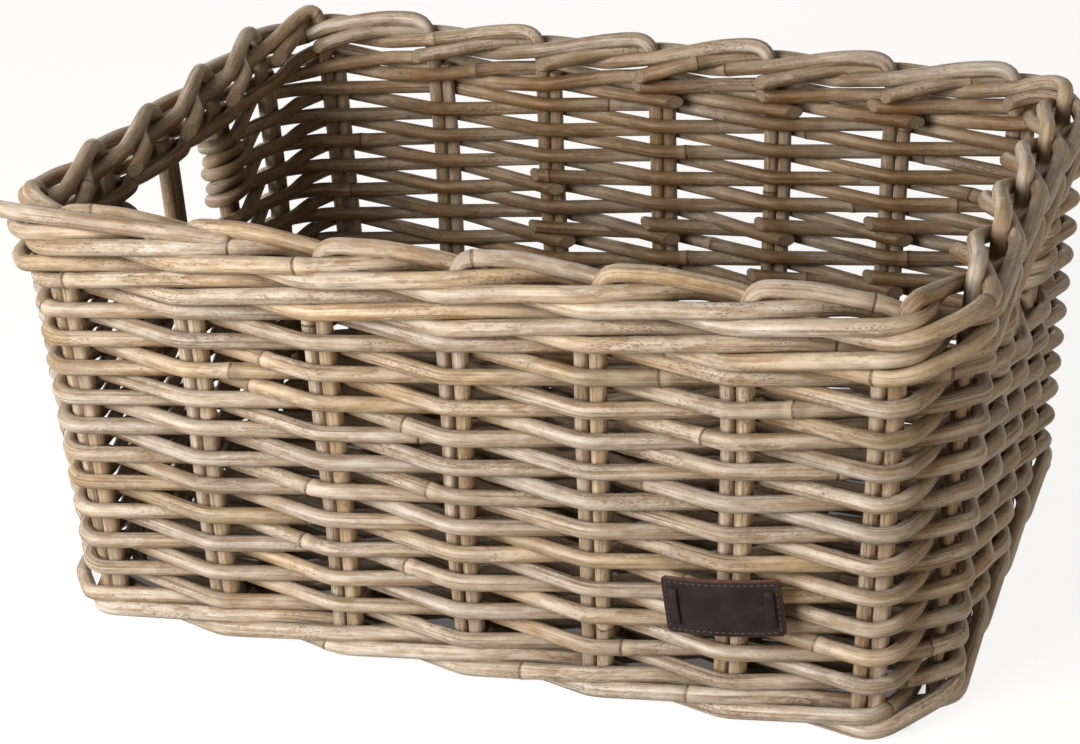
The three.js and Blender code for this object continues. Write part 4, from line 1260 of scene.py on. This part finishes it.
upward = np.cross(sideways, ahead)
around = np.linspace(0, 2 * np.pi, THREAD_SIDES, endpoint=False)[:, None]
circle = np.cos(around) * sideways[:, :, None] + np.sin(around) * upward[:, :, None]
tubes = centres[:, :, None] + (THREAD_RADIUS * taper)[:, None, None] * circle
one_stitch = ring_faces(len(taper), THREAD_SIDES)
moved_on = len(taper) * THREAD_SIDES * np.arange(stitch_count)[:, None, None]
sewn_piece("label_sewing", tubes.reshape(-1, 3), (one_stitch + moved_on).reshape(-1, 4), None, label_thread)
print("label with", stitch_count, "stitches:", made)

# %% [markdown]
# The floor is a wide pale sheet. Seen by the camera it adds light of its own, so that it comes out white
# where the lamps reach it and keeps a soft shadow beside the basket. Under the basket a mask takes nearly all
# of that light away, a painted shadow, so the floor stays dark there. The world does the same for what lies
# beyond the floor, and gives the gaps between the rods a weak warm light. Brighter lamps would whiten the
# floor too, but they would wash out the rattan.

# %% Floor and world
FLOOR_HALF, FLOOR_COLOUR = 9, (0.19, 0.175, 0.15, 1)
# The floor's glow, and the painted shadow under the basket: how much glow it takes away and the footprint it
# covers.
FLOOR_GLOW, PAINTED_SHADOW_LOSS = 0.9, 0.8
PAINTED_SHADOW_LENGTH, PAINTED_SHADOW_DEPTH = (0.218, 0.206), (0.156, 0.145)
GAP_LIGHT, GAP_TINT, WHITE = 0.06, (1, 0.74, 0.44), (1, 1, 1)


def seen_directly(tree):
    """One for rays from the camera and for those that gloss or glass sends on, nothing for the rest."""
    path = put(tree, "LightPath").outputs
    sent_on = reckon(tree, "MAXIMUM", path["Is Glossy Ray"], path["Is Transmission Ray"])
    return reckon(tree, "MAXIMUM", path["Is Camera Ray"], sent_on)


floor_corners = FLOOR_HALF * np.array([[-1, -1, 0], [1, -1, 0], [1, 1, 0], [-1, 1, 0]])
floor_mesh = bpy.data.meshes.new("pale_floor")
floor_mesh.from_pydata(floor_corners.tolist(), [], [(0, 1, 2, 3)])
floor = bpy.data.objects.new("pale_floor", floor_mesh)
bpy.context.scene.collection.objects.link(floor)
floor_paint = bpy.data.materials.new("pale_floor_paint")
floor_mesh.materials.append(floor_paint)
tree = empty_tree(floor_paint)
east, north, _ = put(tree, "SeparateXYZ", {0: put(tree, "TexCoord").outputs["Object"]}).outputs
# Painted shadow: the floor's own light is taken away in the basket's footprint, so the floor is dark under
# the basket.
under = times(tree, rise(tree, reckon(tree, "ABSOLUTE", east), *PAINTED_SHADOW_LENGTH),
              rise(tree, reckon(tree, "ABSOLUTE", north), *PAINTED_SHADOW_DEPTH))
strength = times(tree, seen_directly(tree), reckon(tree, "MULTIPLY_ADD", under, -PAINTED_SHADOW_LOSS, FLOOR_GLOW))
matt = put(tree, "BsdfDiffuse", {"Color": FLOOR_COLOUR})
glow = put(tree, "Emission", {"Color": (*WHITE, 1), "Strength": strength})
both = put(tree, "AddShader", {0: matt.outputs[0], 1: glow.outputs[0]})
put(tree, "OutputMaterial", {"Surface": both.outputs[0]})

world = bpy.data.worlds.new("studio")
bpy.context.scene.world = world
tree = empty_tree(world)
seen = seen_directly(tree)
strength = reckon(tree, "MULTIPLY_ADD", seen, 1 - GAP_LIGHT, GAP_LIGHT)
sky = put(tree, "Background", {"Color": blend_colour(tree, seen, GAP_TINT, WHITE), "Strength": strength})
put(tree, "OutputWorld", {"Surface": sky.outputs[0]})
print("the floor is", 2 * FLOOR_HALF, "m wide")

# %% [markdown]
# Three soft lamps light the basket. A wide one at the front left gives the form and most of the light, a
# small warm one fills the right end, and a weak warm one reaches the outside of the back wall. Sun lamps
# would cast hard shadows of every rod on the next, so these are squares up to a metre wide.

# %% Lamps
def soft_lamp(name, place, target, size, power, tint=WHITE):
    """A square lamp at a place, turned about x by the angle of its aim from straight down, then about z."""
    lamp = bpy.data.lights.new(name, "AREA")
    lamp.size = size
    lamp.energy = power
    lamp.color = tint
    holder = bpy.data.objects.new(name, lamp)
    bpy.context.scene.collection.objects.link(holder)
    aim = np.asarray(target, float) - np.asarray(place, float)
    holder.location = place
    yaw = math.atan2(aim[1], aim[0]) - math.pi / 2
    holder.rotation_euler = (math.atan2(math.hypot(aim[0], aim[1]), -aim[2]), 0, yaw)
    print(name, "at", place, "with", power, "W")


soft_lamp("key_lamp", (-0.64, -1.2, 0.68), target=(0, -0.1, 0.1), size=1.0, power=36)
soft_lamp("right_lamp", (2.2, -0.9, 0.3), target=(0.2, 0, 0.1), size=0.5, power=14, tint=(1, 0.84, 0.63))
soft_lamp("back_lamp", (-0.8, 1.9, 0.4), target=(0, 0.1, 0.1), size=1.0, power=8, tint=(1, 0.86, 0.68))

# %% [markdown]
# The camera stands to the right of the front and looks down at the basket. It could be aimed by eye, but
# its place was worked out from the corners and stakes in the photograph, with the picture taken to be 1080
# by 744. Its matrix is written from three directions: right, up and back.

# %% Camera
AZIMUTH, ELEVATION, ROLL = math.radians(20.93), math.radians(25.05), math.radians(-2.225)
DISTANCE, FOCAL, PICTURE_WIDTH, SENSOR = 1.2506, 2480.0, 1080, 36
AIM = np.array([0.0018, -0.0535, 0.111])
level_right = np.array([math.cos(AZIMUTH), math.sin(AZIMUTH), 0])
level_back = np.array([math.sin(AZIMUTH), -math.cos(AZIMUTH), 0])
back = level_back * math.cos(ELEVATION) + UP * math.sin(ELEVATION)
level_up = np.cross(back, level_right)
right = math.cos(ROLL) * level_right + math.sin(ROLL) * level_up
up = -math.sin(ROLL) * level_right + math.cos(ROLL) * level_up
eye = AIM + back * DISTANCE
camera = bpy.data.cameras.new("studio_camera")
camera.sensor_width = SENSOR
camera.lens = FOCAL * SENSOR / PICTURE_WIDTH
viewer = bpy.data.objects.new("studio_camera", camera)
bpy.context.scene.collection.objects.link(viewer)
viewer.matrix_world = Matrix([*np.stack([right, up, back, eye], axis=1).tolist(), [0, 0, 0, 1]])
bpy.context.scene.camera = viewer
bpy.context.scene.view_settings.view_transform = "Standard"
print("camera lens", round(camera.lens, 1), "mm at", eye.round(3))

# %% [markdown]
# The finished basket has to keep the size of its solids. The last line brings the scene up to date.

# %% The end
bpy.context.view_layer.update()
